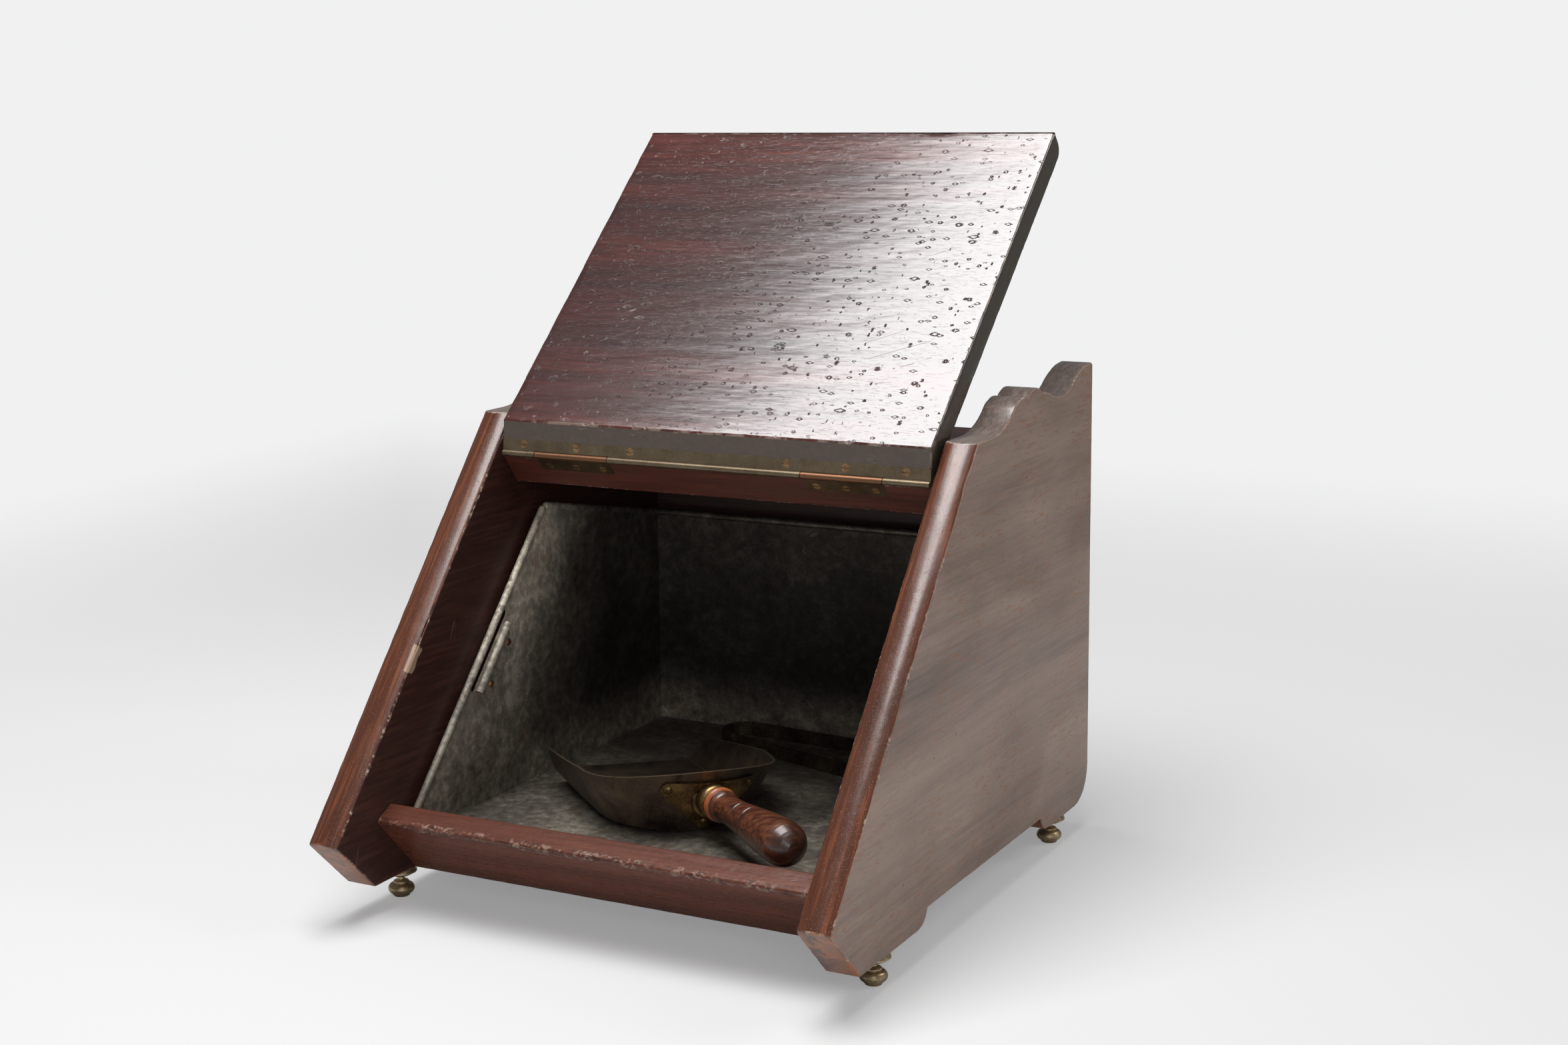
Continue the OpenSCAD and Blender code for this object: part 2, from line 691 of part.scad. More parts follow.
// Grip on the inner face of a side sheet; s points to the middle of the liner.
module grip(face, s) {
    on_wire()
        difference() {
            union() {
                translate([face + s * 1.5, grip_from, -bar_off])
                    rotate([-90, 0, 0])
                        cylinder(h = grip_l * 0.92, d = bar_d, $fn = 32);
                translate([face - (s < 0 ? grip_plate_t : 0), grip_from + 2,
                           -bar_off - grip_plate_w])
                    cube([grip_plate_t, grip_l * 0.85, grip_plate_w]);
            }
            translate([face + s * 1.5, grip_from - 1, -bar_off])
                rotate([-90, 0, 0])
                    cylinder(h = grip_l + 2, d = bar_d - 1.8, $fn = 32);
            translate([face - (s > 0 ? 2 * bar_d : 0), grip_from - bar_d, -bar_off - 2 * grip_plate_w])
                cube([2 * bar_d, grip_l + 2 * bar_d, 4 * grip_plate_w]);
            for (i = [-1, 1])
                translate([face, grip_mid + i * rivet_pitch / 2,
                           -bar_off - grip_plate_w * 0.62])
                    rotate([0, 90, 0])
                        cylinder(h = 6, d = rivet_d * 0.45, center = true);
        }
}

module grip_left() color(tin) grip(-liner_w + sheet_t, 1);
module grip_right() color(tin) grip(liner_w - sheet_t, -1);

// Rivet through a sheet and a grip plate, its domed head at +z.
module rivet(back, head, d) {
    translate([0, 0, -back - 0.6])
        cylinder(h = 0.6, d = d);
    translate([0, 0, -back])
        cylinder(h = back + head, d = d * 0.45);
    translate([0, 0, head])
        intersection() {
            translate([0, 0, -d * 0.25])
                sphere(r = norm([d / 2, d * 0.25]), $fn = 24);
            translate([0, 0, d / 2])
                cube(d, center = true);
        }
}

module grip_rivets() color([0.42, 0.22, 0.14]) {
    grip_rivet_places(-liner_w)
        rivet(sheet_t / 2, sheet_t / 2 + grip_plate_t, rivet_d);
    grip_rivet_places(liner_w - sheet_t)
        mirror([0, 0, 1])
            rivet(sheet_t / 2, sheet_t / 2 + grip_plate_t, rivet_d);
}

// Outline of two arcs joined by straight lines, the small one at the origin.
function teardrop(r1, r2, l) = let (q = asin((r2 - r1) / l))
    concat(arc([0, 0], r1, 90 + q, 270 - q, 10), arc([l, 0], r2, -90 - q, 90 + q, 16));

module strap_loop() color(tin) {
    l = strap_l - strap_r1 - strap_r2;
    translate([-strap_x + strap_r1, front + box_d - strap_back, pan_z + sheet_t + rest_gap])
        rotate([0, 0, -strap_deg])
            linear_extrude(strap_w)
                difference() {
                    polygon(teardrop(strap_r1, strap_r2, l));
                    polygon(teardrop(strap_r1 - strap_t, strap_r2 - strap_t, l));
                }
}

// Frame of the shovel: x towards its mouth, y to its near side, z up from its floor.
module on_shovel() {
    translate([shovel_x, front + shovel_y, shovel_z])
        rotate([0, 0, shovel_deg])
            rotate([shovel_roll, 0, 0])
                rotate([0, -shovel_pitch, 0])
                    children();
}

// Frame of the handle: its z runs out of the socket along the handle.
module on_handle() {
    on_shovel()
        translate([-socket_h * tan(pan_lean), 0, socket_h])
            rotate([0, handle_rise - 90, 0])
                children();
}

// Station i of the pan's wall, at a share h of its height, moved inward by d:
// a leaning half-round back between two straight runs that drop to the tips.
arc_n = 12;
run_n = 4;
half_n = arc_n + run_n;
function wall_at(i, h, d) =
    let (k = abs(i), m = max(k - arc_n, 0) / run_n, t = 90 * min(k, arc_n) / arc_n)
    let (top = pan_h + (side_h - pan_h) * pow(sin(t), 2) + (tip_h - side_h) * m)
    let (z = h > 0 ? h * top : d > 0 ? pan_t : 0, r = pan_r + z * tan(pan_lean) - d)
    [pan_r - r * cos(t) + m * (pan_l + (wing_l - pan_l) * h - pan_r),
     (i < 0 ? 1 : -1) * r * sin(t), z + (i < 0 ? near_bend * m * m : 0)];

// The pan in rows from its back to its mouth: down the near wall, over the floor, up the far wall.
wall_hs = [1, 0.5, 0];
floor_n = 5;
pan_c = 2 * len(wall_hs) + floor_n - 1;
pan_rows = len(wall_hs) + half_n * pan_c;
function pan_row(k, d) =
    let (a = wall_at(-k, 0, d), b = wall_at(k, 0, d))
    concat([for (h = wall_hs) wall_at(-k, h, d)],
           [for (c = [1 : floor_n - 1]) a + (b - a) * c / floor_n],
           [for (i = [len(wall_hs) - 1 : -1 : 0]) wall_at(k, wall_hs[i], d)]);
function pan_i(k, c) =
    let (e = len(wall_hs) - 1)
    k > 0 ? len(wall_hs) + (k - 1) * pan_c + c : c < e ? c : c > pan_c - 1 - e ? pan_c - 1 - c : e;
function quad(a, b, c, d) = [for (f = [[a, b, c], [a, c, d]])
    if (f[0] != f[1] && f[1] != f[2] && f[2] != f[0]) f];

module pan_shell() {
    n = pan_rows;
    ks = [0 : half_n - 1];
    cs = [0 : pan_c - 2];
    e = pan_c - 1;
    polyhedron(
        [for (d = [0, pan_t / cos(pan_lean)])
            each concat([for (h = wall_hs) wall_at(0, h, d)],
                        [for (k = [1 : half_n]) each pan_row(k, d)])],
        concat(
            [for (k = ks, c = cs)
                each quad(pan_i(k, c), pan_i(k, c + 1), pan_i(k + 1, c + 1), pan_i(k + 1, c))],
            [for (k = ks, c = cs)
                each quad(n + pan_i(k, c), n + pan_i(k + 1, c),
                          n + pan_i(k + 1, c + 1), n + pan_i(k, c + 1))],
            [for (k = ks)
                each quad(pan_i(k, 0), pan_i(k + 1, 0), n + pan_i(k + 1, 0), n + pan_i(k, 0))],
            [for (k = ks)
                each quad(pan_i(k + 1, e), pan_i(k, e), n + pan_i(k, e), n + pan_i(k + 1, e))],
            [for (c = cs)
                each quad(pan_i(half_n, c), n + pan_i(half_n, c),
                          n + pan_i(half_n, c + 1), pan_i(half_n, c + 1))]));
}

module shovel_pan() color(bronze)
    difference() {
        on_shovel()
            pan_shell();
        plate_rivet_places()
            translate([0, 0, -6])
                cylinder(h = 8, d = plate_rivet_d * 0.45);
    }

// Socket plate's outline, y across the pan and z up its wall.
plate_pts = [[-plate_half, plate_top], [0, plate_low], [plate_half, plate_top]];

// Centre of the rounding at corner i of the socket plate.
function plate_c(i) =
    let (a = plate_pts[(i + 2) % 3], b = plate_pts[i], c = plate_pts[(i + 1) % 3])
    let (u = unit(a - b), v = unit(c - b))
    b + unit(u + v) * plate_r / sin(acos(u * v) / 2);

// Places of the plate's rivets, z pointing out of the plate's face.
module plate_rivet_places() {
    on_shovel()
        for (i = [0 : 2]) {
            p = plate_c(i);
            r = pan_r + p[1] * tan(pan_lean);
            translate([pan_r, 0, p[1]])
                rotate([0, 0, asin(p[0] / r)])
                    translate([-r - plate_t / cos(pan_lean), 0, 0])
                        rotate([0, -90 - pan_lean, 0])
                            children();
        }
}

// Round back of the pan, as a cone moved outward by d.
module pan_back(d) {
    low = 20;
    high = 60;
    on_shovel()
        translate([pan_r, 0, -low])
            cylinder(h = low + high, $fn = 96,
                     r1 = pan_r + d / cos(pan_lean) - low * tan(pan_lean),
                     r2 = pan_r + d / cos(pan_lean) + high * tan(pan_lean));
}

module shovel_socket() color(bronze)
    difference() {
        union() {
            intersection() {
                on_shovel()
                    rotate([90, 0, -90])
                        linear_extrude(60, center = true)
                            polygon(rounded(plate_pts, [plate_r, plate_r, plate_r], 5));
                difference() {
                    pan_back(plate_t);
                    pan_back(0);
                }
            }
            difference() {
                on_handle() {
                    rotate_extrude()
                        polygon(concat(
                            [[0, -10], [ferrule_d / 2 + 1.5, -10],
                             [ferrule_d / 2 + 1.5, plate_t + 1.2], [ferrule_d / 2, plate_t + 2.4]],
                            arc([ferrule_d / 2 - 4, ferrule_l - 6], 4, 0, 60, 4),
                            arc([ferrule_d / 2 - 2.8, ferrule_l - 1.4], 1.4, -10, 90, 4),
                            [[0, ferrule_l]]));
                    cylinder(h = ferrule_l + tang_l, d = tang_d);
                }
                pan_back(0);
            }
        }
        plate_rivet_places()
            translate([0, 0, -6])
                cylinder(h = 7, d = plate_rivet_d * 0.45);
    }

module shovel_rivets() color(brass)
    plate_rivet_places()
        rivet(plate_t + pan_t + 0.2, 0, plate_rivet_d);

// Turned handle: ring, groove, bead, waist, swelling grip with two scribed lines and a dome.
grip_0 = 15;
grip_1 = handle_l - dome_l;
function swell(z) = waist_d / 2
    + (butt_d - waist_d) / 4 * (1 - cos(180 * (z - grip_0) / (grip_1 - grip_0)));
module shovel_handle() color([0.34, 0.15, 0.08])
    on_handle()
        translate([0, 0, ferrule_l])
            difference() {
                rotate_extrude()
                    polygon(concat(
                        [[0, 0], [ring_d / 2 - 1.6, 0]],
                        arc([ring_d / 2 - 3, 3.2], 3, -60, 60, 5),
                        [[waist_d / 2 + 0.6, 6.8], [waist_d / 2 + 0.4, 7.8]],
                        arc([waist_d / 2 - 0.2, 9.6], 1.6, -60, 60, 4),
                        [[waist_d / 2, 12]],
                        [for (i = [0 : 5]) [swell(grip_0 + i * 4.4), grip_0 + i * 4.4]],
                        [for (z = [38, 54]) each [[swell(z - 0.7), z - 0.7],
                                                  [swell(z) - 0.5, z],
                                                  [swell(z + 0.7), z + 0.7]]],
                        [for (i = [0 : 4]) let (z = 59 + i * (grip_1 - 60) / 4) [swell(z), z]],
                        [for (i = [1 : 8]) let (t = i * 10.6)
                            [butt_d / 2 * cos(t), grip_1 + dome_l * sin(t)]],
                        [[0, handle_l - 0.02]]));
                translate([0, 0, -1])
                    cylinder(h = tang_l + 1, d = tang_d);
            }

side_left();
side_right();
top_board();
back_panel();
bottom_board();
front_rail();
lid();
lid_hinge_strip();
hinge_leaf_left();
hinge_leaf_right();
hinge_pin();
strip_screws();
leaf_screws();
foot_front_left();
foot_front_right();
foot_rear_left();
foot_rear_right();
liner_floor();
liner_lip();
liner_side_left();
liner_side_right();
liner_back();
liner_wire_left();
liner_wire_right();
liner_roll_left();
liner_roll_right();
liner_roll_back();
grip_left();
grip_right();
grip_rivets();
strap_loop();
shovel_pan();
shovel_socket();
shovel_rivets();
shovel_handle();
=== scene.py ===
"""Finishes a slant-fronted coal box: worn boards, patinated sheet and brass, and its stage."""

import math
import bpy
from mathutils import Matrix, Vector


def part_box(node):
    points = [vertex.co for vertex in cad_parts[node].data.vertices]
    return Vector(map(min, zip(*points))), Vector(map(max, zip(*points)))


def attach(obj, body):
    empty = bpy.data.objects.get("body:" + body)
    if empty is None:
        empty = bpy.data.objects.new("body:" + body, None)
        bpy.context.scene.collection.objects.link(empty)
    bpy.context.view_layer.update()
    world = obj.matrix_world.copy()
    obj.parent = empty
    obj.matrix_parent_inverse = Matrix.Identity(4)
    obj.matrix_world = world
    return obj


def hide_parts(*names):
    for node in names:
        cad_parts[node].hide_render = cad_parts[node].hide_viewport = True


bl_info = {
    "name": "Coal Box Finishes",
    "version": (1, 0, 0),
    "blender": (4, 5, 0),
    "location": "3D View > Sidebar > Coal Box",
    "description": "Worn boards, finishes and stage of a slant-fronted coal box",
    "category": "Object",
}

import bmesh
import bpy
from bpy.props import FloatProperty, FloatVectorProperty, PointerProperty
from mathutils import Matrix, Vector, noise

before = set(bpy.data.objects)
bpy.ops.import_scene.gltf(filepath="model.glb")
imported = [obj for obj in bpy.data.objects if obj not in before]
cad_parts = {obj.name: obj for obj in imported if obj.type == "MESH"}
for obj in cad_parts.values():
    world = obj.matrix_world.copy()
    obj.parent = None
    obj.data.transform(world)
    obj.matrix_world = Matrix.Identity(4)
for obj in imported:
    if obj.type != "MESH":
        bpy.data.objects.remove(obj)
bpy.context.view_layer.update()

# Places and angles of the part that its finishes follow, in millimetres and radians.
MM = 1000.0
SLOPE = math.radians(50)  # of the side panels' nosings
LID_TILT = math.radians(42.3)  # of the open lid, from the level
HINGE_Y, HINGE_Z = -11.426, 274.1  # axis of the hinge
RAIL_Y, RAIL_Z = -158.9, 61.6  # line along the rail's worn arris
WIRE_TILT = math.radians(47.8)  # of the wired edges of the liner's sides
WIRE_Y, WIRE_Z = -130.2422, 55.9987  # lower end of these edges
SEAM_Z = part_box("liner_floor")[1][2] * MM  # soldered seam around the liner's floor
TORN_X, TORN_RUN, TORN_DEPTH = -158.0, 46.5, 183.6  # torn patch on the left panel's nosing
HANDLE_FROM = Vector((19.0, -51.4, 70.3))  # ends of the shovel's handle
HANDLE_TO = Vector((117.3, -126.6, 81.3))

# The camera: metres, degrees, and a share of the picture's width.
CAMERA_PLACE = (0.70729, -1.248026, 0.51280)
CAMERA_YAW, CAMERA_PITCH, CAMERA_ROLL = 27.806, 10.630, -0.712
CAMERA_SHIFT = -0.00714

# Shaping of the boards' arrises, in metres and radians.
WELD = 2e-6  # points closer than this are one
NEAR_FITTING = 3e-4  # reach around a fitting in which a board stays as it is
FLAT_ANGLE = math.radians(0.6)
ARRIS_ANGLE = math.radians(26)
SHARP_ANGLE = math.radians(38)
ARRIS_CUTS = ((0.012, 0.04, 5), (0.04, 0.1, 14), (0.1, 1.0, 70))  # from, to, cuts
CHIPS = ((48, 0.16, 1.9), (210, 0.05, 0.7))  # broad and fine: waves per metre, start, depth


def linear(red, green, blue):
    """Colour as a shader wants it, from the 0 to 255 values of a screen."""
    def one(part):
        share = part / 255
        return share / 12.92 if share <= 0.04045 else ((share + 0.055) / 1.055) ** 2.4
    return one(red), one(green), one(blue)


def tint(name, description, red, green, blue):
    """A colour setting, its default given as on a screen."""
    return FloatVectorProperty(name=name, description=description, subtype="COLOR", size=3,
                               min=0, max=1, default=linear(red, green, blue))


class CoalBoxWood(bpy.types.PropertyGroup):
    """Colours and edges of the boards."""
    face: tint("Outer faces", "Greyed brown of the panels' outer faces", 136, 114, 101)
    face_dark: tint("Outer faces, dark", "Darker figure of the outer faces", 105, 86, 76)
    fleck: tint("Flecks", "Orange flecks in the figure", 142, 88, 54)
    nosing: tint("Nosings", "Varnish of the rounded sloping edges", 78, 40, 24)
    inside: tint("Inner faces", "Very dark red-brown inside the panels", 50, 27, 22)
    lid_face: tint("Lid", "Dark red mahogany of the lid's inner face", 56, 22, 17)
    lid_dark: tint("Lid, dark", "Dark figure of the lid's inner face", 34, 17, 16)
    bare: tint("Bare wood", "Raw wood in chips and worn corners", 158, 96, 58)
    worn: tint("Worn arrises", "Pale, rubbed arrises", 172, 150, 134)
    arris: FloatProperty(name="Arris radius", description="Rounding worn on the boards' arrises",
                         default=0.0011, min=0.0002, max=0.003, subtype="DISTANCE", unit="LENGTH")
    chip: FloatProperty(name="Chip depth", description="Depth of the chips along the arrises",
                        default=0.0007, min=0, max=0.002, subtype="DISTANCE", unit="LENGTH")


class CoalBoxMetal(bpy.types.PropertyGroup):
    """Colours of the sheet, the brass and the shovel."""
    sheet: tint("Liner", "Grey-green of the liner's sheet", 82, 76, 68)
    sheet_dark: tint("Liner, dark", "Dark blotches of the sheet", 42, 38, 33)
    sheet_pale: tint("Liner, pale", "Pale rubbed edges and streaks", 124, 118, 106)
    brass: tint("Hinge brass", "Dull olive brass", 118, 104, 84)
    brass_dark: tint("Hinge brass, dark", "Tarnish in the brass", 76, 66, 52)
    copper: tint("Knuckles", "Copper tone of the short knuckles and the rivets", 126, 88, 64)
    shovel: tint("Shovel", "Bronze-brown of the pan", 106, 92, 82)
    shovel_worn: tint("Shovel rim", "Worn, bright rim of the pan", 206, 184, 148)
    handle: tint("Handle", "Red-brown of the turned handle", 80, 43, 27)
    handle_ring: tint("Handle ring", "Lighter ring beside the ferrule", 170, 92, 48)


class CoalBoxStage(bpy.types.PropertyGroup):
    """Floor, lamps and camera."""
    ground: tint("Ground", "White of the floor and backdrop", 208, 208, 208)
    lens: FloatProperty(name="Lens", description="Focal length of the camera, in millimetres",
                        default=52.26, min=20, max=200, unit="CAMERA")
    key: FloatProperty(name="Overhead lamp", description="Power of the overhead lamp, in watts",
                       default=40, min=0, max=200, subtype="POWER")
    side: FloatProperty(name="Side lamp", description="Power of the lamp behind and to the right",
                        default=9, min=0, max=200, subtype="POWER")
    room: FloatProperty(name="Room light", description="Strength of the light from all around",
                        default=0.2, min=0, max=2)


class Value:
    """A socket in a shader's maths: arithmetic on it adds Math nodes."""

    def __init__(self, finish, socket):
        self.finish = finish
        self.socket = socket

    def other(self, key):
        """Another output of the same node."""
        return Value(self.finish, self.socket.node.outputs[key])

    def math(self, operation, *rest):
        """A Math node with this value first."""
        return self.finish.node("ShaderNodeMath", {"operation": operation},
                                dict(enumerate((self,) + rest)))

    def back(self, operation, first):
        """A Math node with this value second."""
        return self.finish.node("ShaderNodeMath", {"operation": operation}, {0: first, 1: self})

    def __add__(self, b):
        return self.math("ADD", b)

    def __sub__(self, b):
        return self.math("SUBTRACT", b)

    def __mul__(self, b):
        return self.math("MULTIPLY", b)

    def __truediv__(self, b):
        return self.math("DIVIDE", b)

    def __radd__(self, a):
        return self.back("ADD", a)

    def __rsub__(self, a):
        return self.back("SUBTRACT", a)

    def __rmul__(self, a):
        return self.back("MULTIPLY", a)

    def __rtruediv__(self, a):
        return self.back("DIVIDE", a)

    def __abs__(self):
        return self.math("ABSOLUTE")

    def most(self, *others):
        """The largest of this and other values."""
        value = self
        for other in others:
            value = value.math("MAXIMUM", other)
        return value

    def band(self, low, high):
        """0 at low, 1 at high, smooth between."""
        return self.finish.node("ShaderNodeMapRange", {"interpolation_type": "SMOOTHSTEP"},
                                {0: self, 1: low, 2: high, 3: 0.0, 4: 1.0})


class Nodes:
    """The nodes of a material or a world."""

    def __init__(self, owner):
        owner.use_nodes = True
        self.tree = owner.node_tree
        self.tree.nodes.clear()

    def node(self, kind, settings, sockets, out=0):
        """A node: its settings first, then its sockets' values or links; returns an output."""
        made = self.tree.nodes.new(kind)
        for key, setting in settings.items():
            if key == "stops":
                ramp = made.color_ramp.elements
                while len(ramp) < len(setting):
                    ramp.new(0.5)
                for stop, (place, colour) in zip(ramp, setting):
                    stop.position = place
                    stop.color = (*colour[:3], 1)
            else:
                setattr(made, key, setting)
        for key, value in sockets.items():
            if isinstance(value, Value):
                self.tree.links.new(value.socket, made.inputs[key])
            elif hasattr(value, "__len__") and made.inputs[key].type == "RGBA":
                made.inputs[key].default_value = (*tuple(value)[:3], 1)
            else:
                made.inputs[key].default_value = value
        return Value(self, made.outputs[out]) if made.outputs else None


class Finish(Nodes):
    """One material and the places that its nodes read, in millimetres."""

    def __init__(self, name):
        self.material = bpy.data.materials.new(name)
        super().__init__(self.material)
        here = self.node("ShaderNodeTexCoord", {}, {}, "Object")
        self.normal = here.other("Normal")
        self.at = self.vector("SCALE", here, Scale=MM)
        self.y = self.node("ShaderNodeSeparateXYZ", {}, {0: self.at}, "Y")
        self.x = self.y.other("X")
        self.z = self.y.other("Z")

    def vector(self, operation, a, b=None, out=0, **named):
        """A Vector Math node."""
        sockets = {0: a}
        if b is not None:
            sockets[1] = b
        sockets.update(named)
        return self.node("ShaderNodeVectorMath", {"operation": operation}, sockets, out)

    def noise(self, at, scale, detail=3.0, rough=0.55, bend=0.0):
        """Noise from 0 to 1; the scale is in waves per millimetre."""
        return self.node("ShaderNodeTexNoise", {}, {"Vector": at, "Scale": scale, "Detail": detail,
                                                    "Roughness": rough, "Distortion": bend})

    def wobble(self, scale, size):
        """Offsets of up to a size, which make outlines ragged."""
        ragged = self.node("ShaderNodeTexNoise", {},
                           {"Vector": self.at, "Scale": scale, "Detail": 3.0}, "Color")
        return self.vector("SCALE", ragged, Scale=size)

    def mix(self, a, b, share):
        """Colour a turned to b by a share."""
        return self.node("ShaderNodeMix", {"data_type": "RGBA"}, {0: share, 6: a, 7: b}, 2)

    def shade(self, colour, share):
        """Colour darkened or lightened by a factor."""
        return self.vector("SCALE", colour, Scale=share)

    def ramp(self, value, *stops):
        """Colour from a value, through stops of place and colour."""
        return self.node("ShaderNodeValToRGB", {"stops": stops}, {0: value})

    def facing(self, *direction):
        """How far the surface faces a direction, 1 when square to it."""
        return self.vector("DOT_PRODUCT", self.normal, tuple(Vector(direction).normalized()),
                           "Value")

    def arris(self):
        """1 on the rounding that worn_board gives an arris."""
        return self.node("ShaderNodeAttribute", {"attribute_name": "arris"}, {}, "Fac")

    def away(self, y, z):
        """Distance from a line that runs along X."""
        flat = self.vector("MULTIPLY", self.at, (0.0, 1.0, 1.0))
        return self.vector("DISTANCE", flat, (0.0, y, z), "Value")

    def squeezed(self, axis, share, shift=0.0):
        """Places drawn out along an axis, as grain is."""
        size = [1.0, 1.0, 1.0]
        size[axis] = share
        drawn = self.vector("MULTIPLY", self.at, tuple(size))
        return self.vector("ADD", drawn, (shift, shift * 0.7, shift * 0.3))

    def knocks(self, cell, share, size, shift=0.0, draw=(1.0, 1.0, 1.0)):
        """1 inside small knocks: one in some of the cells, each of its own size."""
        place = self.vector("MULTIPLY", self.at, draw)
        place = self.vector("ADD", place, self.wobble(1.1, cell * 0.22))
        place = self.vector("ADD", place, (shift, shift, shift))
        far = self.node("ShaderNodeTexVoronoi", {"feature": "F1", "distance": "MANHATTAN"},
                        {"Vector": place, "Scale": 1 / cell, "Randomness": 1.0}, "Distance")
        own = self.node("ShaderNodeSeparateColor", {}, {0: far.other("Color")}, 0)
        reach = (own * 0.75 + 0.25) * (size * 1.45)
        here = own.other(1).band(1 - share, 1 - share + 0.02)
        return (far / reach).band(1.0, 0.55) * here

    def scratches(self, line, share, scale, shift):
        """1 in fine scratches along a line, on a share of the surface."""
        line = Vector(line).normalized()
        run = self.vector("DOT_PRODUCT", self.at, tuple(line), "Value")
        drawn = self.vector("ADD", self.at, self.vector("SCALE", tuple(line), Scale=run * -0.96))
        lines = self.noise(self.vector("ADD", drawn, (shift, shift, shift)), scale, 1.0, 0.4)
        where = self.noise(self.at, 0.024, 2.0, 0.5).band(1 - share, 1.04 - share)
        return abs(lines - 0.5).band(0.004, 0.0012) * where

    def bump(self, height):
        """Surface relief from a height in millimetres."""
        return self.node("ShaderNodeBump", {}, {"Height": height, "Distance": 1 / MM}, "Normal")

    def surface(self, **sockets):
        """The surface: links for what varies, plain values for what doesn't."""
        names = {"colour": "Base Color", "rough": "Roughness", "metal": "Metallic",
                 "relief": "Normal", "coat": "Coat Weight", "coat_rough": "Coat Roughness",
                 "specular": "Specular IOR Level"}
        return self.node("ShaderNodeBsdfPrincipled", {},
                         {names[key]: value for key, value in sockets.items()})

    def end(self, shader):
        """The finished material."""
        self.node("ShaderNodeOutputMaterial", {}, {"Surface": shader})
        return self.material

    def done(self, **sockets):
        """The finished material, of one plain surface."""
        return self.end(self.surface(**sockets))


def figure(f, along, dark, mid, light, shift=0.0):
    """Mahogany's figure along an axis, 0 to 2: its colour, its pores and its fine streaks."""
    grain = f.squeezed(along, 0.05, shift)
    broad = f.noise(grain, 0.03, 4.0, 0.55, 0.5)
    streak = f.noise(grain, 0.42, 4.0, 0.65)
    pores = f.noise(f.squeezed(along, 0.1, shift), 1.5, 2.0, 0.5).band(0.6, 0.7)
    tone = broad * 0.62 + streak * 0.38
    colour = f.ramp(tone, (0.34, dark), (0.5, mid), (0.66, light))
    colour = f.mix(colour, f.shade(colour, 0.5), pores * 0.55)
    return colour, pores, streak


def paint(material, *nodes):
    """Gives CAD nodes their finish."""
    for node in nodes:
        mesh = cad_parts[node].data
        mesh.materials.clear()
        mesh.materials.append(material)


def add_object(name, bm, material):
    """A smooth object from a bmesh, which is used up."""
    mesh = bpy.data.meshes.new(name)
    bm.to_mesh(mesh)
    bm.free()
    for face in mesh.polygons:
        face.use_smooth = True
    mesh.materials.append(material)
    made = bpy.data.objects.new(name, mesh)
    bpy.context.scene.collection.objects.link(made)
    return made


def worn_board(node, body, material, radius, chip, seed, fittings=(), short=4e-4):
    """A board with its arrises rounded and chipped, in place of its solid.

    Edges shorter than short, in metres, are closed up, except at the fittings let into it.
    """
    bm = bmesh.new()
    bm.from_mesh(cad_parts[node].data)
    bmesh.ops.remove_doubles(bm, verts=bm.verts, dist=WELD)
    boxes = [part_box(name) for name in fittings]

    def by_fitting(vert):
        return any(all(low[i] - NEAR_FITTING <= vert.co[i] <= high[i] + NEAR_FITTING
                       for i in range(3)) for low, high in boxes)

    bmesh.ops.remove_doubles(bm, verts=[v for v in bm.verts if not by_fitting(v)], dist=short)
    bmesh.ops.dissolve_limit(bm, angle_limit=FLAT_ANGLE,
                             verts=[v for v in bm.verts if not by_fitting(v)],
                             edges=[e for e in bm.edges
                                    if not any(by_fitting(v) for v in e.verts)])
    arrises = [e for e in bm.edges
               if len(e.link_faces) == 2 and e.calc_face_angle(0) > ARRIS_ANGLE
               and not all(by_fitting(v) for v in e.verts)]
    mark = bm.faces.layers.float.new("arris")
    made = bmesh.ops.bevel(bm, geom=arrises, offset=radius, offset_type="OFFSET", segments=3,
                           profile=0.5, affect="EDGES", clamp_overlap=False)
    for face in {f for f in made["faces"] if f.is_valid}:
        face[mark] = 1.0
    for low, high, cuts in ARRIS_CUTS:
        long = [e for e in bm.edges if low < e.calc_length() <= high
                and any(f[mark] > 0.5 for f in e.link_faces)]
        if long:
            bmesh.ops.subdivide_edges(bm, edges=long, cuts=cuts, use_grid_fill=True)
    bmesh.ops.triangulate(bm, faces=[f for f in bm.faces if f[mark] < 0.5 and len(f.verts) > 4])
    bm.normal_update()
    chip_arrises(bm, mark, chip, Vector((seed * 3.1, seed * 1.7, seed * 2.3)))
    for e in bm.edges:
        e.smooth = not (len(e.link_faces) == 2 and e.calc_face_angle(0) > SHARP_ANGLE)
    piece = add_object(node + "_board", bm, material)
    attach(piece, body)
    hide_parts(node)
    rule = piece.modifiers.new("Flat faces stay flat", "WEIGHTED_NORMAL")
    rule.keep_sharp = True


def chip_arrises(bm, mark, depth, shift):
    """Presses broad and fine chips into the marked faces."""
    moves = []
    for v in bm.verts:
        if all(f[mark] > 0.5 for f in v.link_faces):
            bite = sum(max(0.0, noise.noise(v.co * waves + shift) - start) * share
                       for waves, start, share in CHIPS)
            moves.append((v, v.normal * -depth * bite))
    for v, move in moves:
        v.co += move


